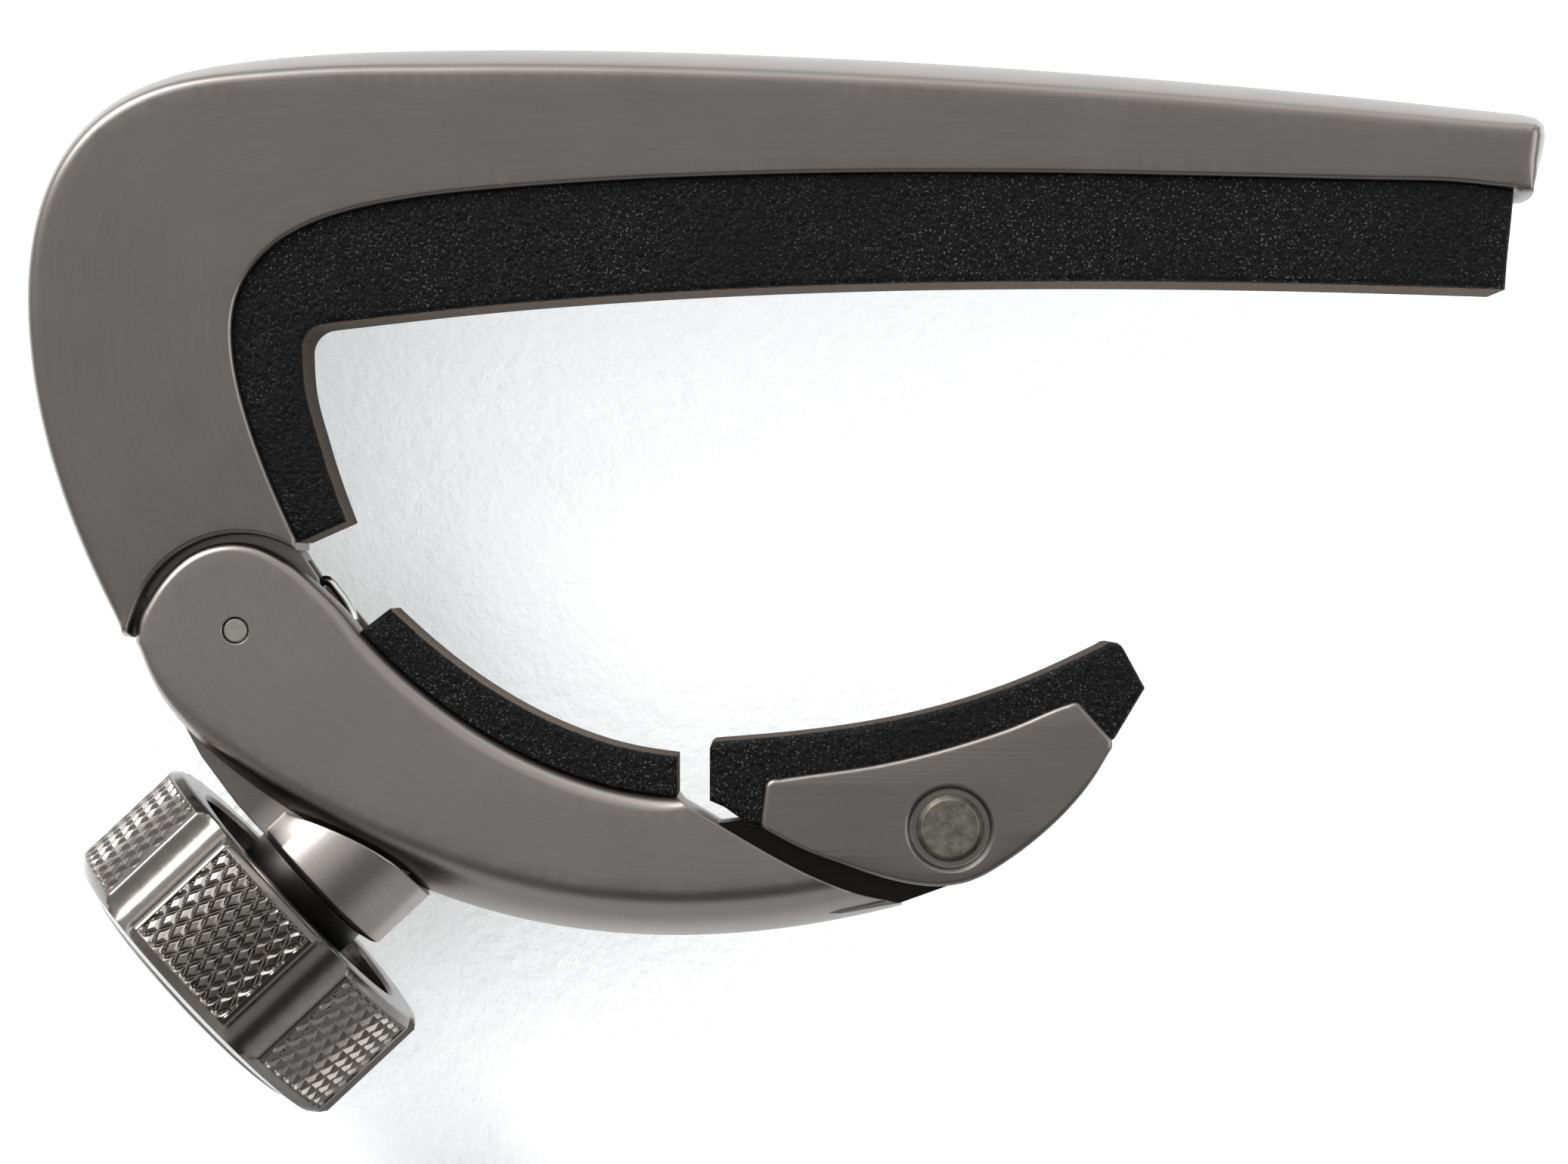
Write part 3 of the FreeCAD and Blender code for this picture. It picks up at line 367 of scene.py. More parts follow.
def turned(name, profile, origin, axis, side, segments=96):
    """Solid turned from (height, radius) points, which start and end on the axis."""
    o, a, s = (np.array(v, float) for v in (origin, axis, side))
    a /= np.linalg.norm(a)
    s /= np.linalg.norm(s)
    t = np.cross(a, s)
    verts, faces, uv, rings = [], [], [], []
    run = 0.0
    last = profile[0]
    for h, r in profile:
        run += math.hypot(h - last[0], r - last[1])
        last = (h, r)
        if r < 1e-6:
            rings.append([len(verts)])
            verts.append(o + a * h)
            uv.append((0.0, run))
            continue
        rings.append(range(len(verts), len(verts) + segments))
        for k in range(segments):
            w = 2 * math.pi * k / segments
            verts.append(o + a * h + (s * math.cos(w) + t * math.sin(w)) * r)
            uv.append((abs((k / segments) * 2 - 1) * 20.0, run))
    for r0, r1 in zip(rings, rings[1:]):
        for k in range(segments):
            j = (k + 1) % segments
            if len(r0) == 1:
                faces.append((r0[0], r1[k], r1[j]))
            elif len(r1) == 1:
                faces.append((r0[k], r0[j], r1[0]))
            else:
                faces.append((r0[k], r0[j], r1[j], r1[k]))
    return build(name, verts, faces, uv)


def rod(name, at, axis, side, radius, start, end, segments=64):
    """Plain cylinder between two heights on an axis."""
    profile = [(start, 0), (start, radius), (end, radius), (end, 0)]
    return turned(name, profile, at, axis, side, segments)


def across(name, at, radius, half, segments=64):
    """Cylinder across the width."""
    return rod(name, at, Y_AXIS, X_AXIS, radius, -half, half, segments)


def combine(o, tool, how):
    """Joins or cuts another closed solid, and drops it."""
    mod = o.modifiers.new("shape", "BOOLEAN")
    mod.operation = how
    mod.solver = "EXACT"
    mod.object = tool
    bpy.context.view_layer.update()
    evaluated = o.evaluated_get(bpy.context.evaluated_depsgraph_get())
    me = bpy.data.meshes.new_from_object(evaluated)
    o.modifiers.clear()
    old = o.data
    o.data = me
    me.name = o.name
    bpy.data.meshes.remove(old)
    bpy.data.objects.remove(tool)
    finish_mesh(o)


def join(o, tool):
    combine(o, tool, "UNION")


def cut(o, tool):
    combine(o, tool, "DIFFERENCE")


# ------------------------------------------------------------------ upper frame
TIP, OUTER = 0, 1  # numbers of the outline pieces
FRAME_PIECES = [
    ("line", FRAME_TIP),
    ("curve", FRAME_OUTER),
    ("line", [FRAME_OUTER[-1], (-46.25, -21.15)]),
    ("arc", [(-46.25, -21.15), (-39.83, -14.93), (-36.42, -15.90)]),
    ("line", [(-36.42, -15.90), FRAME_UNDER[0]]),
    ("curve", FRAME_UNDER),
    ("line", [FRAME_UNDER[-1], (36.9, 5.22), FRAME_TIP[0]])]
FRAME_GRAIN = [
    (-46.0, -26.0), (-41.9, -17.6), (-45.2, -9.0), (-46.4, -1.0), (-44.8, 6.0), (-38.5, 8.9),
    (-30, 9.6), (-20, 10.1), (-5, 10.15), (10, 9.7), (25, 8.8), (40, 7.6)]
BOSS_PROFILE = [  # (height along the screw, radius)
    (-1.6, 0), (-1.6, 3.9), (-1.5, 4.1), (-1.28, 4.2), (1.3, 4.2), (1.42, 4.6), (1.56, 5.05),
    (1.68, 5.25), (1.85, 5.35), (9.5, 5.35), (9.5, 0)]
TONGUE = [
    (-45.6, -17.4), (-44.0, -13.2), (-38.0, -13.2), (-36.42, -15.9), (-35.3, -17.6),
    (-34.9, -20.5), (-34.8, -24.5), on_axis(6.3, 3.4), on_axis(6.3, -3.1), on_axis(2.2, -3.1),
    on_axis(1.75, 1.0), on_axis(1.5, 3.6), on_axis(1.45, 5.0), on_axis(1.5, 6.6),
    on_axis(1.66, 8.0), (-42.26, -28.28), (-43.21, -26.52), (-44.3, -24.6), (-45.1, -22.7),
    (-45.5, -20.5)]
SPRING_ROOM = [
    (HINGE_X - 2.3, HINGE_Z - 2.3), (-33.5, HINGE_Z - 2.3), (-33.5, HINGE_Z + 5.2),
    (HINGE_X + 1.0, HINGE_Z + 3.0), (HINGE_X - 0.6, HINGE_Z + 5.0), (HINGE_X - 2.3, HINGE_Z + 5.0)]


def frame_inset(x, z, tag):
    if tag == TIP:
        return np.interp(z, [5.2, 6.6, 9.0, 10.4], [0.35, 1.3, 1.45, 1.6])
    if tag == OUTER:
        if x > -44.5 and z > 8:
            return np.interp(x, [-44.5, -38, -28, 0, 22, 34, 38],
                             [1.5, 1.75, 1.95, 2.0, 1.9, 1.76, 1.6])
        return np.interp(z, [-21.1, -16, 0, 8, 12.7], [1.0, 1.1, 1.15, 1.3, 1.5])
    return 0.3


def frame_rounding(x, z, tag):
    return {TIP: 5.0, OUTER: 5.7}.get(tag, 0.32)


frame_piece = bar("crowned_frame", FRAME_PIECES, HALF, frame_inset, frame_rounding,
                  line=FRAME_GRAIN, crowned=(TIP, OUTER))
boss = turned("boss", BOSS_PROFILE, SCREW_AT, SCREW_AXIS, Y_AXIS, segments=160)

# ------------------------------------------------------------------ lower arm
END, INNER, ARM_BACK = 0, 1, 3  # numbers of the outline pieces
ARM_PIECES = [
    ("curve", ARM_END),
    ("curve", ARM_INNER),
    ("line", [ARM_INNER[-1], (3.6, -31.5), ARM_OUTER[0]]),
    ("curve", ARM_OUTER)]
ARM_GRAIN = [
    (-43, -14), (-41.2, -19.5), (-38.5, -24.0), (-33.5, -28.2), (-27.5, -31.6), (-20.5, -33.9),
    (-13, -34.9), (-6, -35.2), (6, -33.5)]
NOSE = [
    (-16.0, -33.4), (-11.5, -32.3), (-7.5, -31.85), (-3.0, -30.9),
    (RIVET_X - 1.37, RIVET_Z + 3.11), (RIVET_X + 0.4, RIVET_Z - 3.376), STEP_CUT[-1],
    (-4.0, -37.7), (-16.0, -37.5)]
SLOT = [
    (-50.0, -12.0), (-32.4, -12.0), (-32.4, -24.6), on_axis(9.0, 3.4), on_axis(9.0, -3.6),
    on_axis(0.5, -3.6), (-50.0, -40.5)]
ROOM_GAP, ROOM_TURN = 0.2, math.radians(0.6)


def arm_inset(x, z, tag):
    if tag == ARM_BACK:
        return np.interp(x, [-46.2, -44, -41, -36, -30, 3], [0.7, 1.35, 2.0, 2.65, 3.05, 3.0])
    if tag == END:
        return np.interp(x, [-46.2, -40, -35, -32.5], [0.55, 0.55, 0.8, 1.1])
    return 1.15 if tag == INNER else 0.5


def arm_rounding(x, z, tag):
    if tag == ARM_BACK:
        return np.interp(x, [-46.2, -44, -41, -36, 3], [1.4, 3.2, 4.4, 5.4, 5.7])
    if tag == END:
        return np.interp(x, [-46.2, -40, -35, -32.5], [0.7, 0.7, 1.0, 1.4])
    return 1.5 if tag == INNER else 0.6


def opened(x, z):
    """A place on the arm turned a little about the hinge and moved away from it."""
    r = math.hypot(x - HINGE_X, z - HINGE_Z) + ROOM_GAP
    a = math.atan2(z - HINGE_Z, x - HINGE_X) - ROOM_TURN
    return (HINGE_X + r * math.cos(a), HINGE_Z + r * math.sin(a))


def arm_bar(name, pieces, line=None):
    return bar(name, pieces, HALF, arm_inset, arm_rounding, line=line, crowned=(ARM_BACK,),
               brim=0.8)


# The frame's boss is cleared of the arm, then joined; the holes are cut last.
cut(boss, arm_bar("room", [(kind, [opened(x, z) for x, z in pts]) for kind, pts in ARM_PIECES]))
join(frame_piece, boss)
join(frame_piece, prism("tongue", TONGUE, TONGUE_HALF))
cut(frame_piece, rod("insert_hole", SCREW_AT, SCREW_AXIS, Y_AXIS, radius=3.0, start=-3, end=10))
cut(frame_piece, across("bush_hole", HINGE_AT, radius=1.5, half=HALF))
cut(frame_piece, prism("spring_room", SPRING_ROOM, half=1.6))

arm_piece = arm_bar("forked_arm", ARM_PIECES, ARM_GRAIN)
cut(arm_piece, prism("step_cut", [
    ARM_INNER[-1], *spline(STEP_CUT, 0.4), (0.6, -38.6), (8.0, -38.6), (8.0, -25.0),
    (-13.7, -25.0)], THROUGH))
join(arm_piece, prism("nose", NOSE, TONGUE_HALF))
join(arm_piece, across("lug", RIVET_AT, radius=3.4, half=TONGUE_HALF, segments=96))
cut(arm_piece, prism("slot", SLOT, SLOT_HALF))
cut(arm_piece, across("pin_hole", HINGE_AT, radius=0.80, half=THROUGH))
cut(arm_piece, across("rivet_hole", RIVET_AT, radius=2.0, half=THROUGH))
cut(arm_piece, rod("anvil_seat", SCREW_AT, SCREW_AXIS, Y_AXIS, radius=2.5, start=8.5, end=10.2))

# ------------------------------------------------------------------ swivelling carriage
CHEEK = [
    ("curve", CHEEK_TOP),
    ("arc", [CHEEK_TOP[-1], (10.2, -24.99), (10.45, -25.22)]),
    ("line", [(10.45, -25.22), (12.1, -27.1)]),
    ("arc", [(12.1, -27.1), (12.25, -27.5), CHEEK_BELLY[0]]),
    ("curve", CHEEK_BELLY),
    ("line", [CHEEK_BELLY[-1], (-8.73, -32.23), (-8.45, -29.95)]),
    ("arc", [(-8.45, -29.95), (-8.15, -29.6), CHEEK_TOP[0]])]
SPOT_PROFILE = [  # (distance from the middle plane, radius) of the seat around the rivet
    (5.55, 0), (5.55, 2.36), (5.62, 2.425), (5.88, 2.425), (6.1, 2.64), (6.6, 3.14), (6.6, 0)]


def rim(width, joined=None):
    """Even width for bar, with another on the first piece of the outline if given."""
    return lambda x, z, tag: joined if joined and tag == 0 else width


carriage_piece = bar("swivel_carriage", CHEEK, CHEEK_HALF, rim(0.3), rim(0.32),
                     rows=5, spread=0.3, step=0.3)
channel_roof = spline([(x + 0.25, z - 1.2) for x, z in CHEEK_TOP], 0.5)
cut(carriage_piece, prism("channel", [
    (-12.0, -31.2), *channel_roof, (16.0, -30.0), (16.0, -40.0), (-12.0, -40.0)], half=4.6))
cut(carriage_piece, across("through", RIVET_AT, radius=1.45, half=THROUGH))
for sign in (1, -1):
    cut(carriage_piece, turned("spot", SPOT_PROFILE, RIVET_AT, (0, sign, 0), X_AXIS, segments=128))


# ------------------------------------------------------------------ rubber
def rubber(name, pieces, inset, rounding, step=0.35):
    return bar(name, pieces, PAD_HALF, inset, rounding, rows=6, spread=0.35, step=step)


string_piece = rubber("string_rubber", [
    ("curve", FRAME_UNDER),
    ("line", [FRAME_UNDER[-1], (36.18, 5.2)]),
    ("curve", [(36.18, 5.2), (36.04, 3.6), (35.82, 1.48), PAD_WORK[0]]),
    ("curve", PAD_WORK),
    ("arc", [PAD_WORK[-1], (-35.72, -2.95), PAD_LEG[0]]),
    ("curve", PAD_LEG),
    ("line", [PAD_LEG[-1], (-36.2, -15.45), FRAME_UNDER[0]])],
    rim(0.38, joined=0.12), rim(0.42, joined=0.12), step=0.4)
fixed_piece = rubber("neck_rubber_fixed", [
    ("curve", ARM_INNER),
    ("line", [ARM_INNER[-1], FIXED_TOP[-1]]),
    ("curve", FIXED_TOP[::-1]),
    ("line", [FIXED_TOP[0], ARM_INNER[0]])],
    rim(0.38, joined=0.1), rim(0.42, joined=0.1))
swivel_piece = rubber("neck_rubber_swivel", [
    ("curve", SWIVEL_TOP),
    ("arc", [SWIVEL_TOP[-1], (12.45, -21.42), (12.95, -21.85)]),
    ("line", [(12.95, -21.85), (14.2, -24.15), (12.4, -27.15)]),
    ("line", [(12.4, -27.15), (9.0, -29.5), (-8.0, -32.3), (-8.75, -32.45)]),
    ("line", [(-8.75, -32.45), (-9.4, -32.3), (-10.9, -31.25), (-11.77, -30.87),
              (-11.77, -27.75)]),
    ("arc", [(-11.77, -27.75), (-11.65, -27.45), SWIVEL_TOP[0]])],
    rim(0.36), rim(0.4))
cut(swivel_piece, prism("cheek_room", chain(CHEEK, 0.3)[0], THROUGH))
cut(swivel_piece, prism("nose_room", [
    (-13.0, -30.75), (-8.0, -30.75), (-8.0, -34.0), (-13.0, -34.0)], half=3.8))

# ------------------------------------------------------------------ knob
KNURLS, STEPS = 72, 14  # knurls around, columns per knurl
COLUMNS = KNURLS * STEPS
PITCH, KNURL_DEPTH = 1.86, 0.24
KNOB_RADIUS = 10.7
FLUTES, FLUTE_TURN = 6, math.radians(7.0)
FLUTE_AT, FLUTE_RADIUS = 12.06, 2.06  # circle of the flute centres, radius of each flute
FLUTE_HALF_ANGLE = math.asin(FLUTE_RADIUS / FLUTE_AT)
FLUTE_SOFT = 0.08  # rounding where flute and wall meet
# Closed section as (height outward, radius): the face towards the boss, the wall, then the
# outer rim and the bore.
KNOB_FACE = [
    (0.02, 8.1), (-0.17, 8.2), (-0.24, 8.35), (-0.24, 9.3), (-0.24, 9.95), (-0.18, 10.25),
    (0.0, 10.48), (0.2, 10.64)]
KNOB_WALL = [(k * PITCH / STEPS, KNOB_RADIUS) for k in range(2, 57)]
KNOB_BORE = [
    (7.55, 10.64), (7.85, 10.42), (8.12, 10.1), (8.32, 9.3), (8.5, 8.6), (7.6, 8.6), (7.6, 3.6),
    (6.2, 3.6), (6.2, 1.95), (5.0, 1.95), (5.0, 7.7), (4.88, 7.98), (4.6, 8.1)]
CAP_PROFILE = [
    (7.65, 0), (7.65, 8.5), (8.36, 8.56), (8.46, 8.52), (8.64, 8.3), (8.82, 7.4), (8.96, 6.2),
    (9.06, 4.9), (9.14, 3.4), (9.19, 1.7), (9.22, 0)]


def flute(w):
    """Radius of the flute's wall in a direction, rising steeply beside the flute, and the
    angle from the nearest flute's middle."""
    d = (w - FLUTE_TURN) % (2 * math.pi / FLUTES)
    d = min(d, 2 * math.pi / FLUTES - d)
    off = FLUTE_AT * math.sin(d)
    if off >= FLUTE_RADIUS:
        return KNOB_RADIUS + (d - FLUTE_HALF_ANGLE) * 30, d
    return FLUTE_AT * math.cos(d) - math.sqrt(FLUTE_RADIUS ** 2 - off * off), d


def knurl_peak(w, h):
    """Height of the diamond knurl, from 0 in the grooves to 1 on the flat peaks."""
    a = KNURLS * w / (2 * math.pi)
    b = h / PITCH
    rising = 1 - abs(2 * ((a + b) % 1.0) - 1)
    falling = 1 - abs(2 * ((a - b) % 1.0) - 1)
    return min(min(rising, falling) * 7 / 4, 1.0)


def knob_radius(h, r, w):
    wall, d = flute(w)
    radius = r
    if r > 9.9:
        if abs(wall - r) < 1.2:
            both = math.exp(-r / FLUTE_SOFT) + math.exp(-wall / FLUTE_SOFT)
            radius = -FLUTE_SOFT * math.log(both)
        else:
            radius = min(r, wall)
    if r > 10.6:
        # The knurl fades out towards both rims and beside the flutes.
        fade = min(1.0, max(0.0, (h - 0.3) / 0.25), max(0.0, (7.42 - h) / 0.25))
        lobe = min(1.0, max(0.0, (d - FLUTE_HALF_ANGLE - 0.001) / 0.008))
        radius -= KNURL_DEPTH * (1 - knurl_peak(w, h)) * lobe * fade
    return radius


def knob_mesh():
    origin, outward, side, width = (
        np.array(v, float) for v in (SCREW_AT, OUTWARD, SCREW_SIDE, Y_AXIS))
    profile = KNOB_FACE + KNOB_WALL + KNOB_BORE
    verts, faces, uv, radii = [], [], [], []
    for h, r in profile:
        row = []
        for k in range(COLUMNS):
            w = 2 * math.pi * k / COLUMNS
            row.append(knob_radius(h, r, w))
            around = side * math.cos(w) + width * math.sin(w)
            verts.append(origin + outward * h + around * row[-1])
            uv.append((abs((k / COLUMNS) * 2 - 1) * 33.6, h + r))
        radii.append(row)
    first = len(KNOB_FACE)
    last = first + len(KNOB_WALL) - 1
    for a in range(len(profile)):
        b = (a + 1) % len(profile)
        for k in range(COLUMNS):
            j = (k + 1) % COLUMNS
            p, q = a * COLUMNS + k, a * COLUMNS + j
            u, v = b * COLUMNS + j, b * COLUMNS + k
            if not first <= a < last:
                faces.append((p, q, u, v))
            # Wall faces are split along the diagonal that changes radius least.
            elif abs(radii[a][k] - radii[b][j]) <= abs(radii[a][j] - radii[b][k]):
                faces += [(p, q, u), (p, u, v)]
            else:
                faces += [(p, q, v), (q, u, v)]
    return build("knurled_knob", verts, faces, uv, sharp=24)


knob_piece = knob_mesh()
cap_piece = turned("domed_cap", CAP_PROFILE, SCREW_AT, OUTWARD, SCREW_SIDE, segments=128)

# ------------------------------------------------------------------ spring
WIRE_RADIUS, WIRE_SIDES = 0.3, 14
TURNS, COIL_RADIUS, COIL_PITCH, COIL_STEPS = 3.25, 1.55, 0.7, 130
LEG_BEND, BEND_STEPS = 0.85, 8
SPRING_LEG = [  # (x, y, z)
    (-38.9, 1.0, -22.25), (-37.2, 0.7, -21.3), (-36.1, 0.45, -18.6), (-35.0, 0.2, -17.45),
    (-33.55, 0.03, -19.3), (-33.05, 0.0, -21.4), (-32.8, 0.0, -23.6)]


def wire(name, path):
    """Round wire along a path, closed at both ends."""
    verts, faces, uv = [], [], []
    n = np.array([0.0, 1.0, 0.0])
    run = 0.0
    for k, p in enumerate(path):
        before = path[max(k - 1, 0)]
        t = path[min(k + 1, len(path) - 1)] - before
        t /= np.linalg.norm(t)
        n = n - t * (n @ t)
        n /= np.linalg.norm(n)
        b = np.cross(t, n)
        run += np.linalg.norm(p - before)
        for s in range(WIRE_SIDES):
            w = 2 * math.pi * s / WIRE_SIDES
            verts.append(p + (n * math.cos(w) + b * math.sin(w)) * WIRE_RADIUS)
            uv.append((run, abs(2 * s / WIRE_SIDES - 1) * 0.9))
    end = (len(path) - 1) * WIRE_SIDES
    for a in range(0, end, WIRE_SIDES):
        for s in range(WIRE_SIDES):
            j = (s + 1) % WIRE_SIDES
            faces.append((a + s, a + j, a + WIRE_SIDES + j, a + WIRE_SIDES + s))
    faces.append(tuple(range(WIRE_SIDES)))
    faces.append(tuple(end + s for s in reversed(range(WIRE_SIDES))))
    return build(name, verts, faces, uv, sharp=50)


def bent(pts):
    """Path through points with its corners rounded, without the first point."""
    out = []
    for a, b, c in zip(pts, pts[1:], pts[2:]):
        l1, l2 = np.linalg.norm(a - b), np.linalg.norm(c - b)
        reach = min(LEG_BEND, 0.45 * l1, 0.45 * l2)
        p, r = b + (a - b) * (reach / l1), b + (c - b) * (reach / l2)
        for k in range(BEND_STEPS + 1):
            t = k / BEND_STEPS
            out.append(p * (1 - t) ** 2 + b * (2 * t * (1 - t)) + r * t ** 2)
    return out + [pts[-1]]


coil_start = -TURNS / 2 * COIL_PITCH
spring_path = [np.array([HINGE_X - COIL_RADIUS, coil_start, HINGE_Z + up])
               for up in (4.2, 2.4, 0.8)]
for i in range(COIL_STEPS + 1):
    angle = math.pi + 2 * math.pi * TURNS * i / COIL_STEPS
    spring_path.append(np.array([
        HINGE_X + COIL_RADIUS * math.cos(angle),
        coil_start + COIL_PITCH * TURNS * i / COIL_STEPS,
        HINGE_Z + COIL_RADIUS * math.sin(angle)]))
spring_path += bent([spring_path[-1]] + [np.array(v) for v in SPRING_LEG])
spring_piece = wire("wound_spring", spring_path)


# ------------------------------------------------------------------ materials
class Nodes:
    """Small helper for building node trees."""

    def __init__(self, owner, output="ShaderNodeOutputMaterial"):
        owner.use_nodes = True
        self.owner = owner
        self.tree = owner.node_tree
        self.tree.nodes.clear()
        self.out = self.new(output)

    def new(self, kind, **props):
        node = self.tree.nodes.new(kind)
        for key, value in props.items():
            setattr(node, key, value)
        return node

    def put(self, socket, value):
        if isinstance(value, bpy.types.NodeSocket):
            self.tree.links.new(value, socket)
        else:
            socket.default_value = value

    def math(self, op, a, b=None, clamp=False):
        node = self.new("ShaderNodeMath", operation=op, use_clamp=clamp)
        self.put(node.inputs[0], a)
        if b is not None:
            self.put(node.inputs[1], b)
        return node.outputs[0]

    def add(self, a, b):
        return self.math("ADD", a, b)

    def mul(self, a, b):
        return self.math("MULTIPLY", a, b)

    def weigh(self, first, second):
        """Sum of two (value, weight) pairs."""
        return self.add(self.mul(*first), self.mul(*second))

    def vec(self, op, a, b=None):
        node = self.new("ShaderNodeVectorMath", operation=op)
        self.put(node.inputs[0], a)
        if b is not None:
            self.put(node.inputs[3 if op == "SCALE" else 1], b)
        return node.outputs[1 if op in ("LENGTH", "DOT_PRODUCT") else 0]

    def split(self, vector):
        node = self.new("ShaderNodeSeparateXYZ")
        self.put(node.inputs[0], vector)
        return node.outputs

    def mix(self, factor, a, b):
        node = self.new("ShaderNodeMix", data_type="RGBA")
        self.put(node.inputs[0], factor)
        self.put(node.inputs[6], a)
        self.put(node.inputs[7], b)
        return node.outputs[2]

    def noise(self, vector, scale, detail=3.0, rough=0.55):
        node = self.new("ShaderNodeTexNoise")
        self.put(node.inputs["Vector"], vector)
        node.inputs["Scale"].default_value = scale
        node.inputs["Detail"].default_value = detail
        node.inputs["Roughness"].default_value = rough
        return node.outputs[0]

    def remap(self, value, span, to=(0, 1)):
        """Clamped change from one range to another."""
        node = self.new("ShaderNodeMapRange")
        self.put(node.inputs[0], value)
        for i, x in enumerate((*span, *to), 1):
            node.inputs[i].default_value = x
        return node.outputs[0]

    def coord(self, kind):
        return self.new("ShaderNodeTexCoord").outputs[kind]

    def millimetres(self):
        """Place on the object, in millimetres."""
        return self.vec("SCALE", self.coord("Object"), 1000.0)

    def facing_side(self):
        """How squarely the surface faces along Y, 0 to 1."""
        return self.math("ABSOLUTE", self.split(self.coord("Normal"))[1])

    def flow(self, along, across):
        """Place along and across the grain, in millimetres times the two factors."""
        uv = self.new("ShaderNodeUVMap", uv_map="flow").outputs[0]
        return self.vec("MULTIPLY", uv, (along, across, 1.0))

    def around(self, origin, axis, factor):
        """Radius and height about an axis, in millimetres times the factor."""
        d = self.vec("SUBTRACT", self.millimetres(), origin)
        h = self.vec("DOT_PRODUCT", d, axis)
        flat = self.vec("SUBTRACT", d, self.vec("SCALE", axis, h))
        node = self.new("ShaderNodeCombineXYZ")
        self.put(node.inputs[0], self.mul(self.vec("LENGTH", flat), factor))
        self.put(node.inputs[1], self.mul(h, factor))
        return node.outputs[0]

    def bump(self, height, depth, normal=None):
        """Bumped normal; depth in millimetres."""
        node = self.new("ShaderNodeBump")
        node.inputs["Strength"].default_value = 1.0
        node.inputs["Distance"].default_value = depth * MM
        self.put(node.inputs["Height"], height)
        if normal is not None:
            self.put(node.inputs["Normal"], normal)
        return node.outputs[0]

    def edge(self, radius):
        """Rounded normal near edges, and how far it leans from the true one."""
        bevel = self.new("ShaderNodeBevel", samples=4)
        bevel.inputs["Radius"].default_value = radius * MM
        true = self.new("ShaderNodeNewGeometry").outputs["Normal"]
        same = self.vec("DOT_PRODUCT", bevel.outputs[0], true)
        return bevel.outputs[0], self.math("SUBTRACT", 1.0, same, clamp=True)

    def surface(self, **inputs):
        shader = self.new("ShaderNodeBsdfPrincipled")
        for key, value in inputs.items():
            self.put(shader.inputs[key.replace("_", " ")], value)
        self.put(self.out.inputs[0], shader.outputs[0])
        return self.owner


def material(name):
    return Nodes(bpy.data.materials.new(name))


def rgb(c, k=1.0):
    return (c[0] * k, c[1] * k, c[2] * k, 1.0)


def boss_painted_light_and_shade(n, colour):
    """Painted shade darkens the inner end of the boss, in the gap by the knob, and painted light
    brightens the rest of it.
    """
    place = n.split(n.around(SCREW_AT, SCREW_AXIS, factor=1.0))
    near = n.mul(n.remap(place[0], span=(5.6, 6.6), to=(1, 0)),
                 n.remap(place[1], span=(8.0, 11.0), to=(1, 0)))
    # Painted shade below 1.2 mm along the screw, painted light above 1.5 mm.
    gain = n.remap(place[1], span=(1.2, 1.5), to=(0.2, 2.3))
    return n.mix(near, colour, n.vec("SCALE", colour, gain))


def painted_recess_shadow(n, colour):
    """Paints shadow on the nose's sides above the line that ends the step cut, the shade a deeper
    recess would cast.
    """
    place = n.split(n.millimetres())
    painted_shadow_mask = n.mul(n.remap(n.math("ABSOLUTE", place[1]), span=(3.45, 3.6), to=(1, 0)),
                 n.remap(n.facing_side(), span=(0.7, 0.9)))
    (ax, az), (bx, bz) = STEP_CUT[-2:]
    run = math.hypot(bx - ax, bz - az)
    above = n.weigh((place[0], (az - bz) / run), (place[2], (bx - ax) / run))
    line = (bx * (az - bz) + bz * (bx - ax)) / run
    painted_shadow_mask = n.mul(painted_shadow_mask, n.remap(above, span=(line - 0.08, line - 0.03)))
    # Painted shadow: the nose's sides turn to 0.08 of their colour.
    return n.mix(painted_shadow_mask, colour, n.vec("SCALE", colour, 0.08))


def satin_metal(name, base, rough, swing=0.055, patch=None):
    """Brushed, plated metal: fine strokes along the piece, faint mottling and a painted edge
    highlight, a lighter colour where the rounded edge normal leans. swing is how much the strokes
    change the tone."""
    n = material(name)
    mm = n.millimetres()
    strokes = n.noise(n.flow(along=0.40, across=24.0), scale=1.0, detail=4.0, rough=0.6)
    broad = n.noise(n.flow(along=0.06, across=4.5), scale=1.0, detail=2.0, rough=0.5)
    speckle = n.noise(mm, scale=13.0, detail=2.0, rough=0.6)
    cloud = n.noise(mm, scale=0.16, detail=3.0, rough=0.5)
    normal, lean = n.edge(radius=0.14)
    height = n.weigh((strokes, 0.62), (speckle, 0.38))
    streaks = n.weigh((strokes, 0.55), (broad, 0.45))
    tone = n.remap(streaks, span=(0.32, 0.68), to=(1.0 - swing, 1.0 + swing))
    clouded = n.mix(n.remap(cloud, span=(0.35, 0.65)), rgb(base, 0.985), rgb(base, 1.015))
    colour = n.vec("SCALE", clouded, tone)
    # Painted edge highlight: the colour turns up to 1.4 times lighter where the rounded edge
    # normal leans.
    colour = n.mix(n.remap(lean, span=(0.03, 0.28), to=(0, 0.40)), colour, rgb(base, 1.4))
    r = n.add(n.remap(strokes, span=(0.3, 0.7), to=(rough - 0.035, rough + 0.04)),
              n.remap(cloud, span=(0.3, 0.7), to=(-0.015, 0.02)))
    r = n.math("SUBTRACT", r, n.remap(lean, span=(0.03, 0.3), to=(0, 0.07)))
    # The patch adds painted shade in chosen places, and on the body painted light too.
    if patch:
        colour = patch(n, colour)
    return n.surface(Base_Color=colour, Metallic=1.0, Roughness=r,
                     Normal=n.bump(height, depth=0.0008, normal=normal), Anisotropic=0.25)


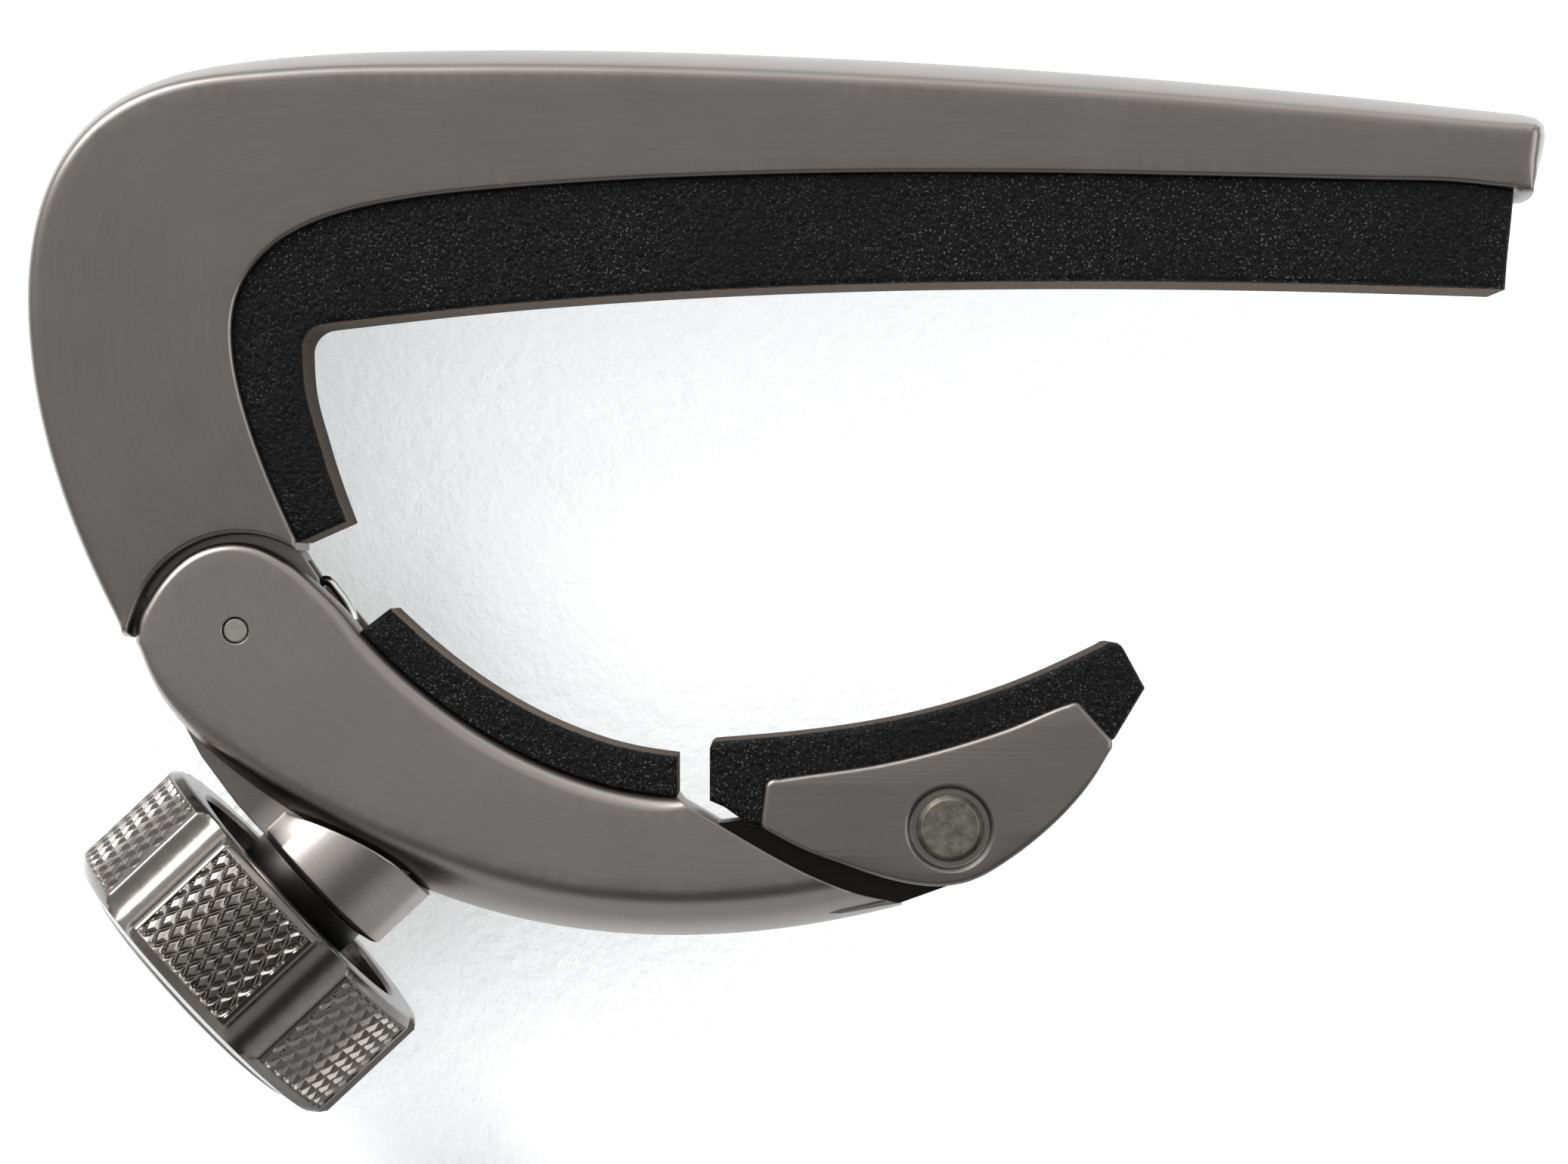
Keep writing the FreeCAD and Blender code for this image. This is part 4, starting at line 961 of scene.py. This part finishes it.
def turned_metal(name, base, rough, origin, axis, depth=0.0012, pits=0.0, bevel=0.07):
    """Metal with fine turning rings about an axis, and a painted edge highlight."""
    n = material(name)
    mm = n.millimetres()
    rings = n.noise(n.around(origin, axis, factor=16.0), scale=1.0, detail=4.0, rough=0.6)
    cloud = n.noise(mm, scale=1.3, detail=4.0, rough=0.62)
    fine = n.noise(mm, scale=9.0, detail=3.0, rough=0.6)
    normal, lean = n.edge(bevel)
    tone = n.remap(rings, span=(0.3, 0.7), to=(0.9, 1.1))
    clouded = n.mix(n.remap(cloud, span=(0.38, 0.62)),
                    rgb(base, 0.95 - pits * 0.25), rgb(base, 1.05 + pits * 0.15))
    colour = n.vec("SCALE", clouded, tone)
    # Painted edge highlight: the colour turns up to 1.5 times lighter where the rounded edge
    # normal leans.
    colour = n.mix(n.remap(lean, span=(0.03, 0.3), to=(0, 0.6)), colour, rgb(base, 1.5))
    r = n.remap(n.weigh((rings, 0.5), (cloud, 0.5)), span=(0.35, 0.65),
                to=(rough - 0.05, rough + 0.06))
    height = n.weigh((rings, 0.6), (fine, 0.4 + pits))
    return n.surface(Base_Color=colour, Metallic=1.0, Roughness=r,
                     Normal=n.bump(height, depth=depth * (1 + 3 * pits), normal=normal))


def moulded_rubber(name):
    """Black rubber with a pebbled skin, pale dots that are partly dust and partly painted glints,
    and working faces painted a paler brown, partly rubbed and partly painted light, with a brown
    sheen.
    """
    n = material(name)
    mm = n.millimetres()
    pebble = n.new("ShaderNodeTexVoronoi", feature="SMOOTH_F1")
    n.put(pebble.inputs["Vector"], mm)
    pebble.inputs["Scale"].default_value = 3.6
    pebble.inputs["Smoothness"].default_value = 0.75
    cells = n.noise(mm, scale=2.4, detail=4.0, rough=0.65)
    fine = n.noise(mm, scale=8.0, detail=3.0, rough=0.6)
    dots = n.noise(mm, scale=7.4, detail=1.0, rough=0.5)
    patches = n.noise(mm, scale=0.12, detail=2.0, rough=0.5)
    # Pale dots: partly dust, partly painted glints of the pebbled skin.
    dust_and_glints = n.mul(n.remap(dots, span=(0.63, 0.70)),
                 n.remap(patches, span=(0.36, 0.62), to=(0.2, 1.0)))
    height = n.add(n.mul(pebble.outputs[0], 0.55), n.weigh((cells, 0.5), (fine, 0.25)))
    black, dark = (0.0015, 0.0015, 0.0016, 1), (0.0042, 0.0042, 0.0044, 1)
    dust_and_glint_grey, rubbed_and_lit_brown = (0.17, 0.17, 0.17, 1), (0.0105, 0.0088, 0.0076, 1)
    colour = n.mix(n.remap(cells, span=(0.35, 0.7)), black, dark)
    colour = n.mix(n.mul(dust_and_glints, 0.34), colour, dust_and_glint_grey)
    # Faces that do not face along Y are painted a paler brown: partly rubbed, partly painted
    # light.
    worn_and_lit = n.remap(n.facing_side(), span=(0.25, 0.6), to=(1, 0))
    rubbed_and_lit_mask = n.mul(worn_and_lit, n.remap(patches, span=(0.3, 0.7), to=(0.75, 1.0)))
    colour = n.mix(rubbed_and_lit_mask, colour, rubbed_and_lit_brown)
    r = n.add(n.remap(cells, span=(0.3, 0.7), to=(0.36, 0.52)), n.mul(worn_and_lit, 0.25))
    return n.surface(Base_Color=colour, Metallic=0.0, Roughness=r,
                     Specular_IOR_Level=n.remap(worn_and_lit, span=(0, 1), to=(0.075, 0.03)),
                     Sheen_Weight=n.mul(worn_and_lit, 0.16), Sheen_Roughness=0.35,
                     Sheen_Tint=(0.95, 0.74, 0.60, 1), Normal=n.bump(height, depth=0.15))


def moulded_plastic(name, base):
    n = material(name)
    mm = n.millimetres()
    fine, broad = n.noise(mm, scale=5.0), n.noise(mm, scale=0.8, detail=2.0)
    colour = n.mix(n.remap(broad, span=(0.35, 0.65)), rgb(base, 0.85), rgb(base, 1.2))
    return n.surface(Base_Color=colour, Normal=n.bump(fine, depth=0.006),
                     Roughness=n.remap(fine, span=(0.3, 0.7), to=(0.4, 0.55)))


def drawn_wire(name):
    n = material(name)
    lines = n.noise(n.flow(along=0.5, across=30.0), scale=1.0)
    colour = n.mix(lines, (0.62, 0.61, 0.58, 1), (0.86, 0.85, 0.82, 1))
    return n.surface(Base_Color=colour, Metallic=1.0, Normal=n.bump(lines, depth=0.0015),
                     Roughness=n.remap(lines, span=(0.3, 0.7), to=(0.14, 0.24)))


PEWTER = (0.172, 0.158, 0.1485)
# The arm's pewter is the body's pewter painted 1.36 times lighter, painted light where the arm
# catches more light than the frame.
ARM_PEWTER_PAINTED_LIGHTER = tuple(1.36 * v for v in PEWTER)
BRASS = (0.72, 0.52, 0.24)
ON_SCREW, ON_HINGE, ON_RIVET = (SCREW_AT, OUTWARD), (HINGE_AT, Y_AXIS), (RIVET_AT, Y_AXIS)

body_look = satin_metal("satin_pewter_body", PEWTER, rough=0.34, patch=boss_painted_light_and_shade)
arm_look = satin_metal("satin_pewter_arm", ARM_PEWTER_PAINTED_LIGHTER, rough=0.33, patch=painted_recess_shadow)
carriage_look = satin_metal("satin_pewter_carriage", PEWTER, rough=0.35, swing=0.04)
knob_look = turned_metal("pewter_knob", (0.178, 0.163, 0.152), 0.19, *ON_SCREW, bevel=0.05)
cap_look = turned_metal("pewter_cap", (0.165, 0.151, 0.141), 0.33, *ON_SCREW, depth=0.0014)
rivet_look = turned_metal("rivet_steel_worn", (0.15, 0.141, 0.118), 0.45, *ON_RIVET,
                          depth=0.002, pits=0.9, bevel=0.10)
pin_look = turned_metal("pin_steel_ground", (0.30, 0.287, 0.265), 0.42, *ON_HINGE,
                        depth=0.001, bevel=0.05)
screw_look = turned_metal("screw_steel_machined", (0.55, 0.545, 0.53), 0.28, *ON_SCREW,
                          depth=0.002)
brass_look = turned_metal("turned_brass", BRASS, 0.27, *ON_SCREW, depth=0.0015)
hinge_brass = turned_metal("hinge_brass", BRASS, 0.27, *ON_HINGE, depth=0.0015)
rubber_look = moulded_rubber("pebbled_rubber")
plastic_look = moulded_plastic("washer_plastic_black", (0.02, 0.02, 0.02))
wire_look = drawn_wire("drawn_spring_wire")

# ------------------------------------------------------------------ hand the pieces to the frame
# (piece, look, body it rides, node it replaces, slot, weighted normals)
DRESSED = [
    (frame_piece, body_look, "frame", "upper_frame", "frame_metal", True),
    (arm_piece, arm_look, "arm", "lower_arm", "arm_metal", True),
    (carriage_piece, carriage_look, "carriage", "pivot_carriage", "carriage_metal", True),
    (string_piece, rubber_look, "frame", "string_pad", "pad_rubber", True),
    (fixed_piece, rubber_look, "arm", "neck_pad_fixed", "pad_rubber", True),
    (swivel_piece, rubber_look, "carriage", "pivot_pad", "pad_rubber", True),
    (knob_piece, knob_look, "knob", "knob", "knob_metal", False),
    (cap_piece, cap_look, "knob", "knob_cap", "cap_metal", True),
    (spring_piece, wire_look, "arm", "torsion_spring", "spring_steel", False)]
for piece, look, body, node, slot, weighted in DRESSED:
    piece.data.materials.clear()
    piece.data.materials.append(look)
    if weighted:
        shading = piece.modifiers.new("shading", "WEIGHTED_NORMAL")
        shading.keep_sharp = True
        shading.weight = 60
    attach(piece, body)
    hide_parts(node)

# CAD pieces that keep their own mesh.
KEPT = {
    "pivot_rivet": rivet_look, "hinge_pin": pin_look, "hinge_bushes": hinge_brass,
    "hinge_washers": plastic_look, "boss_insert": brass_look, "adjusting_screw": screw_look,
    "screw_jam_nut": screw_look, "thrust_foot": brass_look, "foot_clip": screw_look,
    "rivet_bush": hinge_brass, "carriage_washers": plastic_look, "anvil": screw_look}
for node, look in KEPT.items():
    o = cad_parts[node]
    if not o.material_slots:
        o.data.materials.append(look)
    for s in o.material_slots:
        s.link = "OBJECT"
        s.material = look

# ------------------------------------------------------------------ floor and backdrop
FLOOR_Z, FLOOR_HALF = -0.0544, 1.5
BACK_Y, BACK_LEFT, BACK_RIGHT, BACK_TOP = 0.0112, -0.09, 0.075, 0.052


def sheet(name, corners, look):
    me = bpy.data.meshes.new(name)
    me.from_pydata(corners, [], [(0, 1, 2, 3)])
    o = bpy.data.objects.new(name, me)
    scene.collection.objects.link(o)
    me.materials.append(look)
    return o


def paper(name, glow=0.0):
    """Matt paper seen from its front only, so the piece can be looked at from behind and
    below. glow is the strength of its own light."""
    n = material(name)
    mm = n.millimetres()
    fibre = n.noise(mm, scale=0.9, detail=6.0, rough=0.62)
    cloud = n.noise(mm, scale=0.25, detail=3.0, rough=0.5)
    matt = n.new("ShaderNodeBsdfDiffuse")
    tint = n.mix(cloud, (0.86, 0.866, 0.872, 1), (0.885, 0.889, 0.893, 1))
    n.put(matt.inputs["Color"], tint)
    n.put(matt.inputs["Normal"], n.bump(fibre, depth=0.30))
    front = matt.outputs[0]
    if glow:
        light = n.new("ShaderNodeEmission")
        light.inputs["Strength"].default_value = glow
        both = n.new("ShaderNodeAddShader")
        n.put(both.inputs[0], front)
        n.put(both.inputs[1], light.outputs[0])
        front = both.outputs[0]
    sides = n.new("ShaderNodeMixShader")
    n.put(sides.inputs[0], n.new("ShaderNodeNewGeometry").outputs["Backfacing"])
    n.put(sides.inputs[1], front)
    n.put(sides.inputs[2], n.new("ShaderNodeBsdfTransparent").outputs[0])
    n.put(n.out.inputs[0], sides.outputs[0])
    return n.owner


floor = sheet("floor", [
    (x * FLOOR_HALF, y * FLOOR_HALF, FLOOR_Z) for x, y in ((-1, -1), (1, -1), (1, 1), (-1, 1))],
    paper("floor_paper"))
floor.visible_glossy = False
sheet("backdrop", [
    (BACK_LEFT, BACK_Y, FLOOR_Z), (BACK_RIGHT, BACK_Y, FLOOR_Z),
    (BACK_RIGHT, BACK_Y, BACK_TOP), (BACK_LEFT, BACK_Y, BACK_TOP)],
    paper("backdrop_paper", glow=0.20))

# ------------------------------------------------------------------ light
MIDDLE = (-0.007, 0.0, -0.014)


def lamp(name, at, size, power, colour=(1, 1, 1)):
    """Area light aimed at the middle of the piece."""
    light = bpy.data.lights.new(name, "AREA")
    light.shape = "RECTANGLE"
    light.size, light.size_y = size
    light.energy = power
    light.color = colour
    o = bpy.data.objects.new(name, light)
    o.location = at
    o.rotation_euler = (Vector(MIDDLE) - Vector(at)).to_track_quat("-Z", "Y").to_euler()
    scene.collection.objects.link(o)


lamp("key", at=(-0.38, -0.37, 0.47), size=(0.46, 0.46), power=6.6)
lamp("top", at=(0.06, -0.10, 0.55), size=(0.70, 0.40), power=0.9)
lamp("fill", at=(0.48, -0.34, -0.02), size=(0.40, 0.40), power=1.7, colour=(0.98, 0.99, 1.0))

AMBIENT = 0.30
# (axis, direction where it starts, direction where it is full, strength added)
SKY_RAMPS = [(2, -0.45, 0.60, 0.72), (0, 0.6, -0.6, 0.20), (2, -0.55, -0.95, 0.50)]
DARK_PATCH = (0.15, -0.80, -0.58)  # direction of a darker patch, below on the camera's side


def studio_world():
    n = Nodes(bpy.data.worlds.new("studio"), "ShaderNodeOutputWorld")
    background = n.new("ShaderNodeBackground")
    direction = n.coord("Generated")
    parts = n.split(direction)
    total = AMBIENT
    for axis, start, full, gain in SKY_RAMPS:
        total = n.add(n.remap(parts[axis], span=(start, full), to=(0.0, gain)), total)
    towards = n.vec("DOT_PRODUCT", direction, DARK_PATCH)
    shade = n.remap(towards, span=(0.80, 0.99), to=(1.0, 0.30))
    shade.node.interpolation_type = "SMOOTHSTEP"
    n.put(background.inputs["Strength"], n.mul(total, shade))
    n.put(background.inputs["Color"], (0.97, 0.985, 1.0, 1))
    n.put(n.out.inputs[0], background.outputs[0])
    return n.owner


scene.world = studio_world()
scene.view_settings.view_transform = "Standard"

# ------------------------------------------------------------------ camera
CAMERA_DISTANCE = 0.410  # from the side of the frame that faces -Y

camera = bpy.data.cameras.new("camera")
camera.sensor_width = 36.0
camera.lens = 158.15
camera.clip_start = 0.01
camera.clip_end = 20.0
eye = bpy.data.objects.new("camera", camera)
eye.location = (-0.007335, -(HALF * MM + CAMERA_DISTANCE), -0.01782)
eye.rotation_euler = (math.pi / 2, 0, 0)
scene.collection.objects.link(eye)
scene.camera = eye
